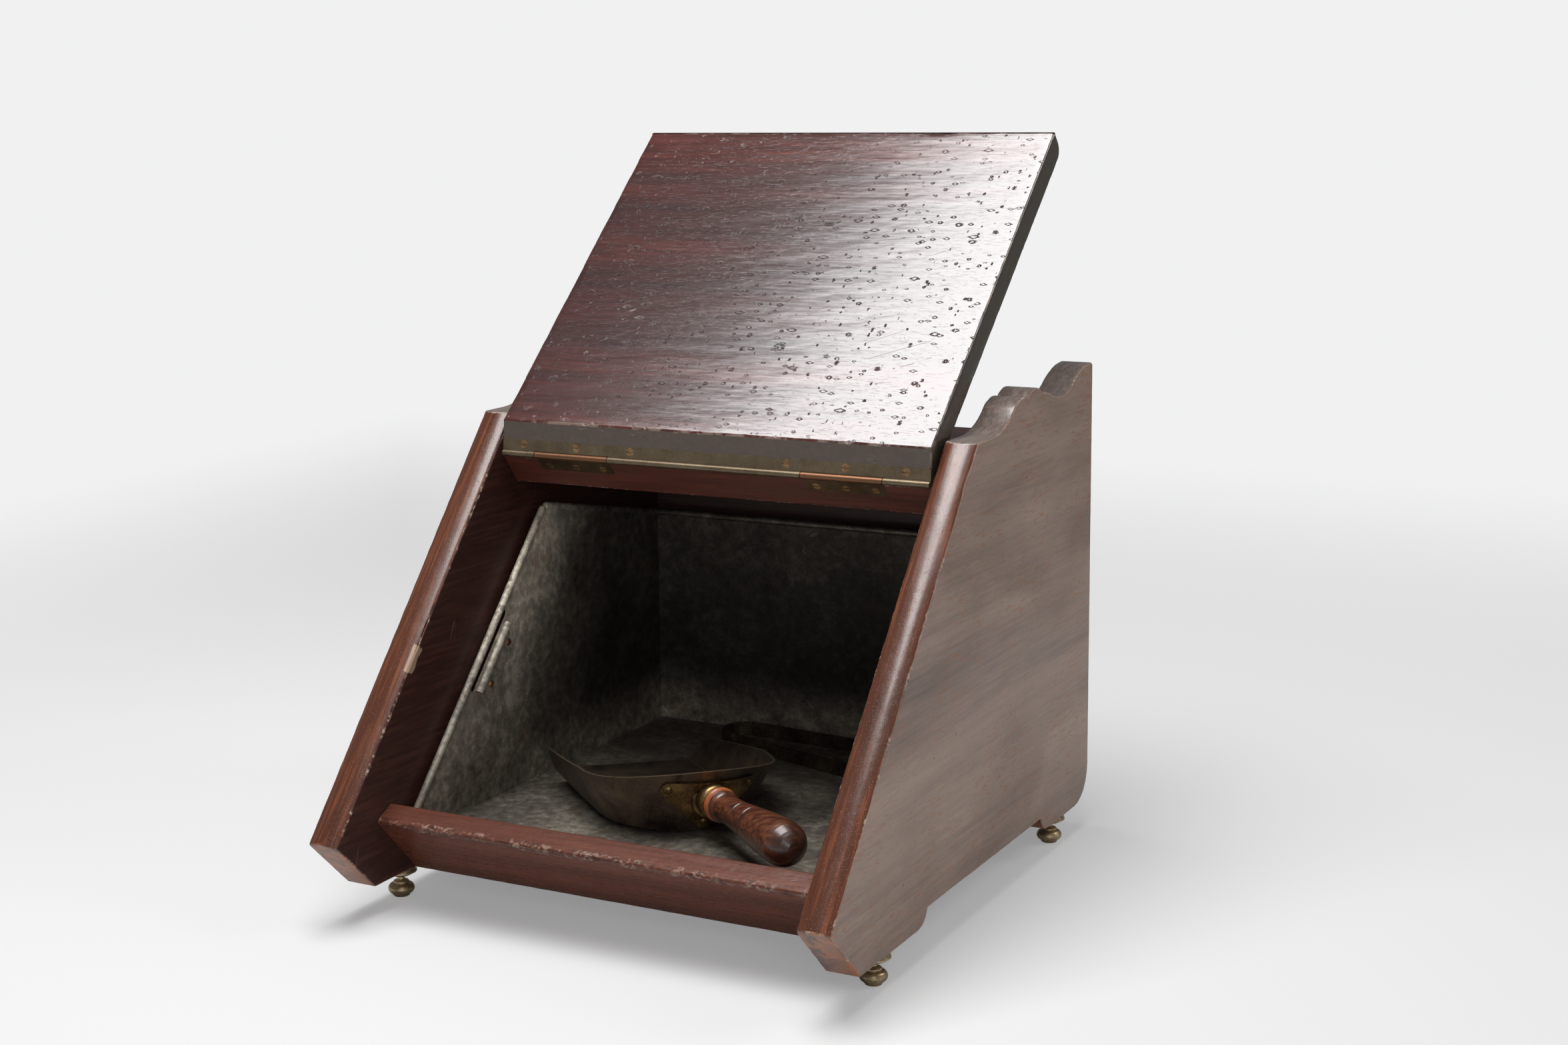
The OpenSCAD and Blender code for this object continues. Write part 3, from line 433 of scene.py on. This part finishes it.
def panel_finish(name, out, wood):
    """Side panel: greyed outer face, varnished nosing, very dark inner face, and a top paled by
    painted sheen.

    out is -1 for the left panel and 1 for the right one.
    """
    f = Finish(name)
    # Outer face: greyed figure with orange flecks and smoky patches.
    outer, pores, streak = figure(f, 1, wood.face_dark, wood.face, linear(152, 129, 114), out * 40)
    flecks = f.noise(f.squeezed(1, 0.14, 7), 0.8, 2.0, 0.5).band(0.56, 0.66)
    where = f.noise(f.at, 0.012, 2.0, 0.5).band(0.36, 0.56)
    outer = f.mix(outer, wood.fleck, flecks * where * 0.7)
    smoky = f.noise(f.squeezed(1, 0.5), 0.012, 3.0, 0.5, 0.4).band(0.45, 0.68)
    outer = f.mix(outer, f.shade(outer, 0.62), smoky * 0.5)
    inner = f.mix(wood.inside, linear(84, 48, 38), streak.band(0.4, 0.7) * 0.6)
    # Nosing: its figure runs up the slope.
    run = f.y * math.cos(SLOPE) + f.z * math.sin(SLOPE)
    depth = f.z * math.cos(SLOPE) - f.y * math.sin(SLOPE)
    sloped = f.node("ShaderNodeCombineXYZ", {}, {0: f.x, 1: run * 0.04, 2: depth})
    lines = f.noise(sloped, 0.5, 4.0, 0.6)
    edge = f.mix(wood.nosing, linear(134, 76, 46), lines.band(0.45, 0.72) * 0.6)
    blotch = f.noise(f.vector("MULTIPLY", sloped, (1.0, 6.0, 1.0)), 0.035, 2.0, 0.5)
    blotch = blotch.band(0.5, 0.7)
    edge = f.mix(edge, linear(52, 28, 21), blotch * 0.5)
    # Painted sheen: the top faces are a paler grey than the wood.
    top = f.mix(linear(96, 84, 78), linear(134, 120, 112), streak.band(0.4, 0.7) * 0.6)
    # Each face by the way it looks.
    on_edge = f.facing(0, -math.sin(SLOPE), math.cos(SLOPE)).band(0.55, 0.75)
    on_top = f.facing(0, 0, 1).band(0.66, 0.85)
    colour = f.mix(outer, inner, f.facing(-out, 0, 0).band(0.5, 0.8))
    colour = f.mix(colour, edge, on_edge * (1 - on_top))
    colour = f.mix(colour, top, on_top)
    toe = f.facing(0, -0.7, -0.7).band(0.7, 0.9)
    colour = f.mix(colour, f.mix(linear(120, 76, 52), linear(70, 44, 36), blotch), toe)
    # Wear: rubbed arrises, bare wood low down, the torn patch, knocks, scratches and nicks.
    arris = f.arris()
    patchy = f.noise(f.at, 0.06, 3.0, 0.6)
    fleck_wear = f.noise(f.at, 0.45, 3.0, 0.6).band(0.46, 0.6)
    colour = f.mix(colour, wood.worn, arris * patchy.band(0.46, 0.6) * fleck_wear * 0.8)
    raw = f.z.band(78, 46) * f.noise(f.at, 0.12, 3.0, 0.6).band(0.5, 0.6)
    colour = f.mix(colour, wood.bare, raw * (arris * 0.85 + toe * 0.5))
    wander = f.noise(f.at, 0.22, 3.0, 0.6) * 8 - 4
    torn = abs(run + wander - TORN_RUN).band(10, 8.6) * abs(f.x - TORN_X).band(3.4, 2.4)
    torn = torn * (depth + wander * 0.6).band(TORN_DEPTH, TORN_DEPTH + 1.2)
    colour = f.mix(colour, linear(168, 140, 118), torn * 0.8)
    knocks = f.knocks(26, 0.35, 0.075, out * 11)
    small = f.knocks(11, 0.16, 0.09, out * 5)
    colour = f.mix(colour, linear(40, 26, 22), (knocks * 0.8 + small * 0.7).math("MINIMUM", 1.0))
    marks = f.scratches((0, 0.35, 1), 0.4, 0.05, out * 3) * (1 - on_edge)
    marks = marks.most(f.scratches((0, 1, 0.2), 0.38, 0.06, out * 8))
    nicks = f.knocks(12, 0.3, 0.1, out * 9, (1.0, 0.3, 0.3)) * on_edge
    nicks = nicks.most(f.knocks(7, 0.16, 0.1, out * 4, (0.3, 1.0, 1.0)) * on_edge)
    colour = f.mix(colour, linear(176, 150, 128), marks * 0.22 + nicks * 0.5)
    height = streak * 0.05 - pores * 0.05 + f.noise(f.at, 0.09, 2.0, 0.5) * (0.3 - on_edge * 0.18)
    height = height - knocks * 0.5 - small * 0.25 - marks * 0.06 - nicks * 0.2
    rough = 0.36 + streak * 0.12 - on_edge * 0.2 + smoky * 0.08 + on_top * 0.06
    return f.done(colour=colour, rough=rough, relief=f.bump(height), coat=on_edge * 0.22 + 0.06,
                  coat_rough=0.14)


def lid_finish(wood):
    """Lid: red mahogany with its grain across, full of coal dents on the side that shows open."""
    f = Finish("Lid mahogany")
    face, pores, streak = figure(f, 0, wood.lid_dark, wood.lid_face, linear(86, 36, 29), 13)
    bands = f.noise(f.squeezed(0, 0.12, 3), 0.022, 2.0, 0.5).band(0.38, 0.66)
    face = f.mix(face, f.mix(wood.lid_dark, linear(52, 26, 26), streak), bands * 0.6)
    rubbed = f.noise(f.squeezed(0, 0.3), 0.02, 3.0, 0.6)
    side = f.mix(linear(74, 66, 54), linear(50, 40, 34), streak)
    end = f.mix(linear(84, 68, 57), linear(44, 35, 29), f.noise(f.at, 0.25, 4.0, 0.7))
    # Each face by the way it looks when the lid is open.
    up = f.facing(0, -math.sin(LID_TILT), math.cos(LID_TILT))
    colour = f.mix(face, side, abs(f.facing(1, 0, 0)).band(0.5, 0.8))
    tail = f.facing(0, -math.cos(LID_TILT), -math.sin(LID_TILT)).band(0.45, 0.7)
    colour = f.mix(colour, end, tail)
    show = figure(f, 0, linear(54, 30, 22), linear(82, 45, 32), linear(104, 60, 42), 47)[0]
    colour = f.mix(colour, show, up.band(-0.5, -0.8))
    colour = f.mix(colour, linear(124, 108, 96),
                   f.arris() * f.noise(f.at, 0.07, 3.0, 0.6).band(0.48, 0.6) * 0.7)
    # Dents crowd the middle; painted highlights lie as pale rims beside the larger ones.
    on_face = up.band(0.6, 0.85)
    along = (f.y - HINGE_Y) / math.cos(LID_TILT)
    crowd = along.band(255, 215) * along.band(5, 40) * 0.6 + 0.4
    crowd = crowd * f.noise(f.at, 0.014, 2.0, 0.5).band(0.2, 0.42)
    tiny = f.knocks(5.6, 0.9, 0.32, 2.0, (0.7, 1.2, 1.2)) * crowd
    some = f.knocks(9.0, 0.95, 0.26, 9.0, (0.62, 1.15, 1.15)) * crowd
    few = f.knocks(34.0, 0.4, 0.1, 4.0, (0.7, 1.2, 1.2))
    # Painted highlight: pale rims set just beside the dents.
    painted_light = f.knocks(9.0, 0.95, 0.26, 8.45, (0.62, 1.15, 1.15)) * crowd * (1 - some)
    dents = tiny.most(some, few) * on_face
    colour = f.mix(colour, linear(150, 126, 118), painted_light * on_face * 0.28)
    colour = f.mix(colour, linear(24, 12, 11), (few * 0.9 + some * 0.35) * on_face)
    marks = f.scratches((1, 0.32, 0.29), 0.38, 0.05, 21) * on_face
    colour = f.mix(colour, linear(128, 96, 88), marks * 0.35)
    height = streak * 0.05 - pores * 0.02 - dents * 0.75 - marks * 0.05
    height = height + f.noise(f.squeezed(0, 0.25, 5), 0.1, 2.0, 0.5) * 0.25
    rough = 0.14 + streak * 0.04 + rubbed * 0.03 + tail * 0.35
    return f.done(colour=colour, rough=rough, relief=f.bump(height), specular=1.0)


def board_finish(name, wood, dark, mid, light, rough, dent=0.5, wear=0.6, top_sheen=0.45,
                 specular=0.5, rubbed=None):
    """Boards and the rail: grain across, pitted, worn along the arrises, with painted sheen on
    top.

    rubbed is a line, as y and z, along which an arris is worn most.
    """
    f = Finish(name)
    colour, pores, streak = figure(f, 0, dark, mid, light, 31)
    knocks = f.knocks(13, 0.3, 0.11, 6, (0.7, 1, 1)).most(f.knocks(5, 0.22, 0.12, 1))
    arris = f.arris()
    if rubbed:
        arris = arris.most(f.away(*rubbed).band(4.6, 3.0))
        hollows = f.noise(f.squeezed(0, 0.4, 2), 0.3, 3.0, 0.6).band(0.52, 0.62)
        colour = f.mix(colour, linear(40, 26, 24), arris * hollows * 0.6)
    on_top = f.facing(0, 0, 1).band(0.6, 0.85)
    # Painted sheen: the top faces are mixed towards a pale grey.
    colour = f.mix(colour, linear(104, 92, 84), on_top * streak.band(0.4, 0.7) * top_sheen)
    patchy = f.noise(f.at, 0.05, 2.0, 0.6).band(0.36, 0.56)
    fleck_wear = f.noise(f.at, 0.4, 3.0, 0.6).band(0.5, 0.6)
    colour = f.mix(colour, wood.worn, arris * patchy * fleck_wear * wear)
    specks = f.knocks(7, 0.16, 0.07, 15)
    colour = f.mix(colour, linear(196, 176, 160), specks * 0.5)
    colour = f.mix(colour, linear(26, 15, 13), knocks * 0.6)
    height = streak * 0.07 - pores * 0.05 - knocks * dent + f.noise(f.at, 0.11, 2.0, 0.5) * 0.3
    return f.done(colour=colour, rough=rough + streak * 0.16, relief=f.bump(height), coat=0.05,
                  coat_rough=0.2, specular=specular)


def sheet_finish(name, metal, painted_light, pale=0.0, specks=0.25):
    """Old sheet metal: crackled, blotched grey-green patina, with painted light in front and
    painted shade and soot behind.

    The third value lightens the whole as painted light, pale rubs it bright, and specks are its
    light spots.
    """
    f = Finish(name)
    blotch = f.noise(f.at, 0.022, 5.0, 0.62, 0.3)
    mottle = f.noise(f.at, 0.16, 5.0, 0.7)
    crackle = f.node("ShaderNodeTexVoronoi", {"feature": "DISTANCE_TO_EDGE"},
                     {"Vector": f.vector("ADD", f.at, f.wobble(0.3, 5.0)), "Scale": 0.17},
                     "Distance")
    web = crackle.band(0.09, 0.0)
    tone = blotch * 0.5 + mottle * 0.5
    colour = f.ramp(tone, (0.34, metal.sheet_dark), (0.5, metal.sheet), (0.66, metal.sheet_pale))
    rust = f.noise(f.at, 0.05, 4.0, 0.6).band(0.56, 0.72)
    colour = f.mix(colour, linear(82, 62, 44), rust * 0.45)
    colour = f.mix(colour, f.shade(colour, 0.68), web * 0.45)
    if pale:
        bright = f.noise(f.at, 0.25, 3.0, 0.6).band(0.42, 0.6)
        colour = f.mix(colour, metal.sheet_pale, bright * pale)
    marks = f.scratches((1, 0.4, 0.5), 0.45, 0.06, 8)
    marks = marks.most(f.scratches((0.3, 1, 0.8), 0.42, 0.05, 3))
    colour = f.mix(colour, linear(150, 146, 130), marks * 0.4)
    spots = f.knocks(9, 0.2, 0.07, 3)
    colour = f.mix(colour, linear(190, 184, 166), spots * specks)
    height = mottle * 0.12 - web * 0.03 - spots * 0.1 + f.noise(f.at, 0.03, 2.0, 0.5) * 1.2
    # Painted shade, with soot, deep and low in the liner; painted light higher up and beside the
    # wired edges.
    # Painted shade and soot: darker deep and low in the liner.
    soot_and_shade = f.y.band(-70, 110) * f.z.band(44, 90)
    inward = (f.y - WIRE_Y) * math.sin(WIRE_TILT) - (f.z - WIRE_Z) * math.cos(WIRE_TILT)
    front = inward.band(70, 4) * f.z.band(60, 120)
    colour = f.shade(colour, (painted_light - soot_and_shade * (painted_light - 0.25))
                     * (f.z.band(110, 215) * 2.2 + 1) * (front * 1.3 + 1))
    # Painted sheen: a pale grey-blue beside the wired edges.
    colour = f.mix(colour, linear(112, 116, 116), front * 0.3)
    # Solder along the foot of the side sheets, with one drip down the front.
    ragged = f.noise(f.at, 0.22, 3.0, 0.6) * 5 - 2.5
    solder = (f.z - SEAM_Z + ragged).band(3.2, 1.6) * (f.y + ragged * 4).band(-50, -80)
    drip = abs(f.y + ragged * 0.5 - f.z * 0.15 + 122).band(1.6, 0.6) * f.z.band(66, 58)
    on_side = abs(f.facing(1, 0, 0)).band(0.5, 0.8)
    colour = f.mix(colour, linear(122, 130, 114), solder.most(drip) * on_side * 0.75)
    rough = 0.5 + mottle * 0.25 - marks * 0.1
    return f.done(colour=colour, rough=rough, metal=0.35 + blotch * 0.2, relief=f.bump(height))


def brass_finish(name, dark, mid, bright, rough, knuckle=None, fine=1.0, even=1.0):
    """Patinated metal, dark in the hollows and rubbed in patches.

    knuckle is the colour of the rounding about the hinge's axis, fine the scale of the drawn
    lines, and even the strength of the patches.
    """
    f = Finish(name)
    stain = f.noise(f.at, 0.07, 4.0, 0.6, 0.3)
    fine_stain = f.noise(f.at, 0.7, 3.0, 0.6)
    tone = (stain * 0.6 + fine_stain * 0.4 - 0.5) * even + 0.5
    colour = f.ramp(tone, (0.35, dark), (0.52, mid), (0.68, bright))
    if knuckle is not None:
        colour = f.mix(colour, knuckle, f.away(HINGE_Y, HINGE_Z).band(2.35, 2.2) * 0.85)
    drawn = f.noise(f.squeezed(0, 0.04), 2.2 * fine, 2.0, 0.5)
    height = drawn * 0.02 + stain * 0.1 + fine_stain * 0.03
    return f.done(colour=colour, rough=rough + fine_stain * 0.16, metal=0.85,
                  relief=f.bump(height))


def shovel_finish(metal):
    """Pan: bronze-brown, brushed by use, with a worn bright rim."""
    f = Finish("Shovel brass")
    cloud = f.noise(f.at, 0.045, 4.0, 0.6, 0.4)
    drawn = f.noise(f.squeezed(2, 0.06, 4), 1.4, 3.0, 0.6)
    colour = f.ramp(cloud * 0.65 + drawn * 0.35, (0.36, linear(58, 48, 42)),
                    (0.5, metal.shovel), (0.66, linear(130, 112, 94)))
    edge = f.node("ShaderNodeBevel", {"samples": 6}, {"Radius": 0.0009}, "Normal")
    own = f.node("ShaderNodeNewGeometry", {}, {}, "Normal")
    rim = f.vector("DOT_PRODUCT", edge, own, "Value").band(0.985, 0.86)
    colour = f.mix(colour, metal.shovel_worn, rim * 0.75)
    height = drawn * 0.03 + cloud * 0.2
    rough = 0.34 + drawn * 0.14 - rim * 0.08
    return f.done(colour=colour, rough=rough, metal=0.9, relief=f.bump(height))


def handle_finish(metal):
    """Turned handle: red-brown polish, a lighter ring, dark grooves and a dark end.

    Places along it are in millimetres from its ferrule.
    """
    f = Finish("Turned handle")
    line = (HANDLE_TO - HANDLE_FROM).normalized()
    run = f.vector("DOT_PRODUCT", f.vector("SUBTRACT", f.at, tuple(HANDLE_FROM)), tuple(line),
                   "Value")
    streak = f.noise(f.squeezed(0, 0.1, 2), 0.35, 3.0, 0.5)
    colour = f.ramp(streak, (0.36, linear(58, 30, 20)), (0.5, metal.handle),
                    (0.66, linear(102, 58, 36)))
    colour = f.mix(colour, metal.handle_ring, run.band(21.4, 20.6) * 0.8)
    first, *others = (abs(run - place).band(half, half - 0.5)
                      for place, half in ((53, 0.9), (69, 0.9), (22.4, 1.0)))
    groove = first.most(*others)
    colour = f.mix(colour, linear(34, 16, 12), groove * 0.85)
    colour = f.mix(colour, linear(36, 20, 15), run.band(112, 124) * 0.6)
    spot = f.noise(f.at, 0.09, 3.0, 0.6).band(0.5, 0.7)
    colour = f.mix(colour, linear(42, 24, 18), spot * run.band(96, 124) * 0.8)
    knocks = f.knocks(9, 0.2, 0.09, 1)
    colour = f.mix(colour, linear(30, 16, 12), knocks * 0.6)
    height = streak * 0.03 - knocks * 0.2 - groove * 0.2
    return f.done(colour=colour, rough=0.3 + streak * 0.12, relief=f.bump(height), coat=0.35,
                  coat_rough=0.18)


class CoalBoxOperator(bpy.types.Operator):
    """Common to all operators"""
    bl_options = {"REGISTER", "UNDO"}


class COALBOX_OT_panels(CoalBoxOperator):
    """Makes the two side panels with worn arrises"""
    bl_idname = "coal_box.panels"
    bl_label = "Side Panels"

    def execute(self, context):
        wood = context.scene.coal_box_wood
        left = panel_finish("Left panel mahogany", -1, wood)
        right = panel_finish("Right panel mahogany", 1, wood)
        worn_board("side_left", "case", left, wood.arris, wood.chip, 1,
                   ("foot_front_left", "foot_rear_left"))
        worn_board("side_right", "case", right, wood.arris, wood.chip, 3,
                   ("foot_front_right", "foot_rear_right"))
        return {"FINISHED"}


class COALBOX_OT_boards(CoalBoxOperator):
    """Makes the top board, the front rail, the back panel and the bottom board"""
    bl_idname = "coal_box.boards"
    bl_label = "Boards and Rail"

    def execute(self, context):
        wood = context.scene.coal_box_wood
        red = board_finish("Pitted board", wood, linear(50, 28, 23), linear(88, 44, 34),
                           linear(112, 60, 44), 0.34, dent=0.8)
        rail = board_finish("Rail mahogany", wood, linear(76, 42, 32), linear(92, 51, 38),
                            linear(108, 62, 46), 0.2, dent=0.8, wear=0.42, top_sheen=0.0,
                            specular=0.3, rubbed=(RAIL_Y, RAIL_Z))
        dark = board_finish("Dark boards", wood, linear(40, 27, 23), linear(60, 40, 33),
                            linear(78, 54, 44), 0.5, dent=0.4)
        sharp = wood.arris * 0.5
        worn_board("top_board", "case", red, wood.arris, wood.chip, 5,
                   ("hinge_leaf_left", "hinge_leaf_right", "leaf_screws"), short=8e-4)
        worn_board("front_rail", "case", rail, sharp, wood.chip, 7)
        worn_board("back_panel", "case", dark, sharp, 0, 8)
        worn_board("bottom_board", "case", dark, sharp, 0, 9)
        return {"FINISHED"}


class COALBOX_OT_lid(CoalBoxOperator):
    """Makes the dented lid"""
    bl_idname = "coal_box.lid"
    bl_label = "Lid"

    def execute(self, context):
        wood = context.scene.coal_box_wood
        worn_board("lid", "lid", lid_finish(wood), wood.arris, wood.chip * 1.4,
                   11, ("lid_hinge_strip", "strip_screws"), short=8e-4)
        return {"FINISHED"}


class COALBOX_OT_hinge(CoalBoxOperator):
    """Finishes the hinge, its pin and its screws"""
    bl_idname = "coal_box.hinge"
    bl_label = "Hinge and Screws"

    def execute(self, context):
        metal = context.scene.coal_box_metal
        strip = brass_finish("Long leaf brass", metal.brass_dark, metal.brass,
                             linear(142, 128, 106), 0.34, even=0.45)
        leaf = brass_finish("Short leaf brass", linear(60, 48, 36), linear(98, 82, 62),
                            linear(132, 112, 84), 0.36, knuckle=metal.copper, even=0.6)
        heads = brass_finish("Screw brass", linear(92, 70, 50), linear(150, 120, 86),
                             linear(196, 166, 122), 0.28, fine=2.0)
        paint(strip, "lid_hinge_strip")
        paint(leaf, "hinge_leaf_left", "hinge_leaf_right")
        paint(heads, "hinge_pin", "strip_screws", "leaf_screws")
        return {"FINISHED"}


class COALBOX_OT_feet(CoalBoxOperator):
    """Finishes the four turned feet"""
    bl_idname = "coal_box.feet"
    bl_label = "Turned Feet"

    def execute(self, context):
        brass = brass_finish("Foot brass", linear(112, 98, 76), linear(170, 152, 120),
                             linear(206, 188, 150), 0.26, fine=2.0)
        paint(brass, "foot_front_left", "foot_front_right", "foot_rear_left", "foot_rear_right")
        return {"FINISHED"}


class COALBOX_OT_liner(CoalBoxOperator):
    """Finishes the liner, its rolled edges and grips"""
    bl_idname = "coal_box.liner"
    bl_label = "Liner"

    def execute(self, context):
        metal = context.scene.coal_box_metal
        # The third values are painted light: the sheets are lightened most, the floor and the
        # rolled edges less.
        sheet = sheet_finish("Liner sheet", metal, 2.2)
        floor = sheet_finish("Liner floor", metal, 1.25, specks=0.5)
        rolled = sheet_finish("Rolled edges", metal, 1.3, pale=0.5)
        rear = brass_finish("Rear roll steel", linear(84, 80, 72), linear(120, 114, 104),
                            linear(160, 152, 140), 0.42)
        rivets = brass_finish("Rivet copper", linear(62, 38, 26), metal.copper,
                              linear(178, 120, 84), 0.34, fine=2.0)
        paint(sheet, "liner_side_left", "liner_side_right", "liner_back", "liner_lip")
        paint(floor, "liner_floor")
        paint(rolled, "liner_wire_left", "liner_wire_right", "liner_roll_left",
              "liner_roll_right", "grip_left", "grip_right")
        paint(rear, "liner_roll_back")
        paint(rivets, "grip_rivets")
        return {"FINISHED"}


class COALBOX_OT_strap(CoalBoxOperator):
    """Finishes the loose strap"""
    bl_idname = "coal_box.strap"
    bl_label = "Loose Strap"

    def execute(self, context):
        paint(brass_finish("Strap steel", linear(44, 38, 32), linear(86, 74, 60),
                           linear(128, 112, 92), 0.36), "strap_loop")
        return {"FINISHED"}


class COALBOX_OT_shovel(CoalBoxOperator):
    """Finishes the hand shovel"""
    bl_idname = "coal_box.shovel"
    bl_label = "Hand Shovel"

    def execute(self, context):
        metal = context.scene.coal_box_metal
        socket = brass_finish("Socket brass", linear(62, 48, 32), linear(120, 96, 62),
                              linear(176, 148, 102), 0.28)
        rivets = brass_finish("Plate rivets", linear(58, 46, 32), linear(114, 94, 64),
                              linear(160, 136, 96), 0.3)
        paint(shovel_finish(metal), "shovel_pan")
        paint(socket, "shovel_socket")
        paint(rivets, "shovel_rivets")
        paint(handle_finish(metal), "shovel_handle")
        return {"FINISHED"}


class COALBOX_OT_stage(CoalBoxOperator):
    """Makes the floor, the lamps and the camera"""
    bl_idname = "coal_box.stage"
    bl_label = "Stage"

    def execute(self, context):
        scene = context.scene
        stage = scene.coal_box_stage
        self.ground(stage)
        self.lamp("Overhead lamp", stage.key, 1.1, (-0.2, -0.28, 1.75), (-0.2, -0.28, 0),
                  turn=-0.67)
        self.lamp("Side lamp", stage.side, 0.8, (1.5, 0.9, 1.5), (0, 0, 0.15))
        self.lamp("Front lamp", stage.side * 1.2, 1.0, (1.3, -2.0, 1.0), (-0.1, 0, 0.12))
        scene.world = bpy.data.worlds.new("Studio")
        room = Nodes(scene.world)
        seen = room.node("ShaderNodeLightPath", {}, {}, "Is Camera Ray")
        soft = room.node("ShaderNodeBackground", {}, {"Color": (1, 1, 1), "Strength": stage.room})
        white = room.node("ShaderNodeBackground", {}, {"Color": (0.9, 0.9, 0.9), "Strength": 1.0})
        both = room.node("ShaderNodeMixShader", {}, {0: seen, 1: soft, 2: white})
        room.node("ShaderNodeOutputWorld", {}, {"Surface": both})
        scene.view_settings.view_transform = "Standard"
        self.camera(scene, stage)
        return {"FINISHED"}

    def ground(self, stage):
        """White floor sweeping up behind the box."""
        back, sweep, half, top = 3.0, 2.0, 7.0, 6.0
        steps = [(-6.0, 0.0), (back, 0.0)]
        for degrees in range(6, 91, 6):
            turn = math.radians(degrees)
            steps.append((back + sweep * math.sin(turn), sweep - sweep * math.cos(turn)))
        steps.append((back + sweep, top))
        bm = bmesh.new()
        rows = [[bm.verts.new((x, y, z)) for x in (-half, half)] for y, z in steps]
        for low, high in zip(rows, rows[1:]):
            bm.faces.new((low[0], low[1], high[1], high[0]))
        f = Finish("Studio white")
        plain = f.surface(colour=stage.ground, rough=0.85, specular=0.1)
        glow = f.node("ShaderNodeEmission", {}, {"Color": linear(241, 241, 242), "Strength": 1.0})
        seen = f.node("ShaderNodeLightPath", {}, {}, "Is Camera Ray")
        far = f.y.band(300, 1800).most(abs(f.x).band(500, 1600), f.y.band(-700, -1500))
        share = seen * (far * 0.7 + 0.3)
        lifted = f.node("ShaderNodeMixShader", {}, {0: share, 1: plain, 2: glow})
        add_object("studio_floor", bm, f.end(lifted))

    def lamp(self, name, power, size, place, aim, turn=0.0):
        """A square lamp at a place, aimed at a point and turned about its beam."""
        light = bpy.data.lights.new(name, "AREA")
        light.shape = "SQUARE"
        light.size = size
        light.energy = power
        lamp = bpy.data.objects.new(name, light)
        lamp.location = place
        lamp.rotation_euler = (Vector(aim) - Vector(place)).to_track_quat("-Z", "Y").to_euler()
        lamp.rotation_euler.rotate_axis("Z", turn)
        bpy.context.scene.collection.objects.link(lamp)

    def camera(self, scene, stage):
        """The camera where the photographer stood."""
        yaw, pitch, roll = (math.radians(a) for a in (CAMERA_YAW, CAMERA_PITCH, CAMERA_ROLL))
        ahead = Vector((-math.sin(yaw) * math.cos(pitch), math.cos(yaw) * math.cos(pitch),
                        -math.sin(pitch)))
        right = Vector((math.cos(yaw), math.sin(yaw), 0))
        up = right.cross(ahead)
        right, up = (right * math.cos(roll) + up * math.sin(roll),
                     up * math.cos(roll) - right * math.sin(roll))
        lens = bpy.data.cameras.new("Camera")
        lens.sensor_width = 36
        lens.lens = stage.lens
        lens.shift_y = CAMERA_SHIFT
        lens.clip_end = 50
        camera = bpy.data.objects.new("Camera", lens)
        turn = Matrix((right, up, -ahead)).transposed().to_4x4()
        camera.matrix_world = Matrix.Translation(CAMERA_PLACE) @ turn
        scene.collection.objects.link(camera)
        scene.camera = camera


PIECES = (COALBOX_OT_stage, COALBOX_OT_panels, COALBOX_OT_boards, COALBOX_OT_lid,
          COALBOX_OT_hinge, COALBOX_OT_feet, COALBOX_OT_liner, COALBOX_OT_strap,
          COALBOX_OT_shovel)


class COALBOX_PT_sidebar(bpy.types.Panel):
    """Lists the settings and the pieces"""
    bl_idname = "COALBOX_PT_sidebar"
    bl_label = "Coal Box"
    bl_space_type = "VIEW_3D"
    bl_region_type = "UI"
    bl_category = "Coal Box"

    def draw(self, context):
        scene = context.scene
        for label, group in (("Wood", scene.coal_box_wood), ("Metal", scene.coal_box_metal),
                             ("Stage", scene.coal_box_stage)):
            box = self.layout.box()
            box.label(text=label)
            for key in group.__annotations__:
                box.prop(group, key)
        for operator in PIECES:
            self.layout.operator(operator.bl_idname)


GROUPS = {"coal_box_wood": CoalBoxWood, "coal_box_metal": CoalBoxMetal,
          "coal_box_stage": CoalBoxStage}


def register():
    for cls in (*GROUPS.values(), *PIECES, COALBOX_PT_sidebar):
        bpy.utils.register_class(cls)
    for key, group in GROUPS.items():
        setattr(bpy.types.Scene, key, PointerProperty(type=group))


def unregister():
    for key in GROUPS:
        delattr(bpy.types.Scene, key)
    for cls in reversed((*GROUPS.values(), *PIECES, COALBOX_PT_sidebar)):
        bpy.utils.unregister_class(cls)


def main():
    """Makes everything."""
    register()
    for operator in PIECES:
        getattr(bpy.ops.coal_box, operator.bl_idname.split(".")[1])()


if __name__ == "__main__":
    main()
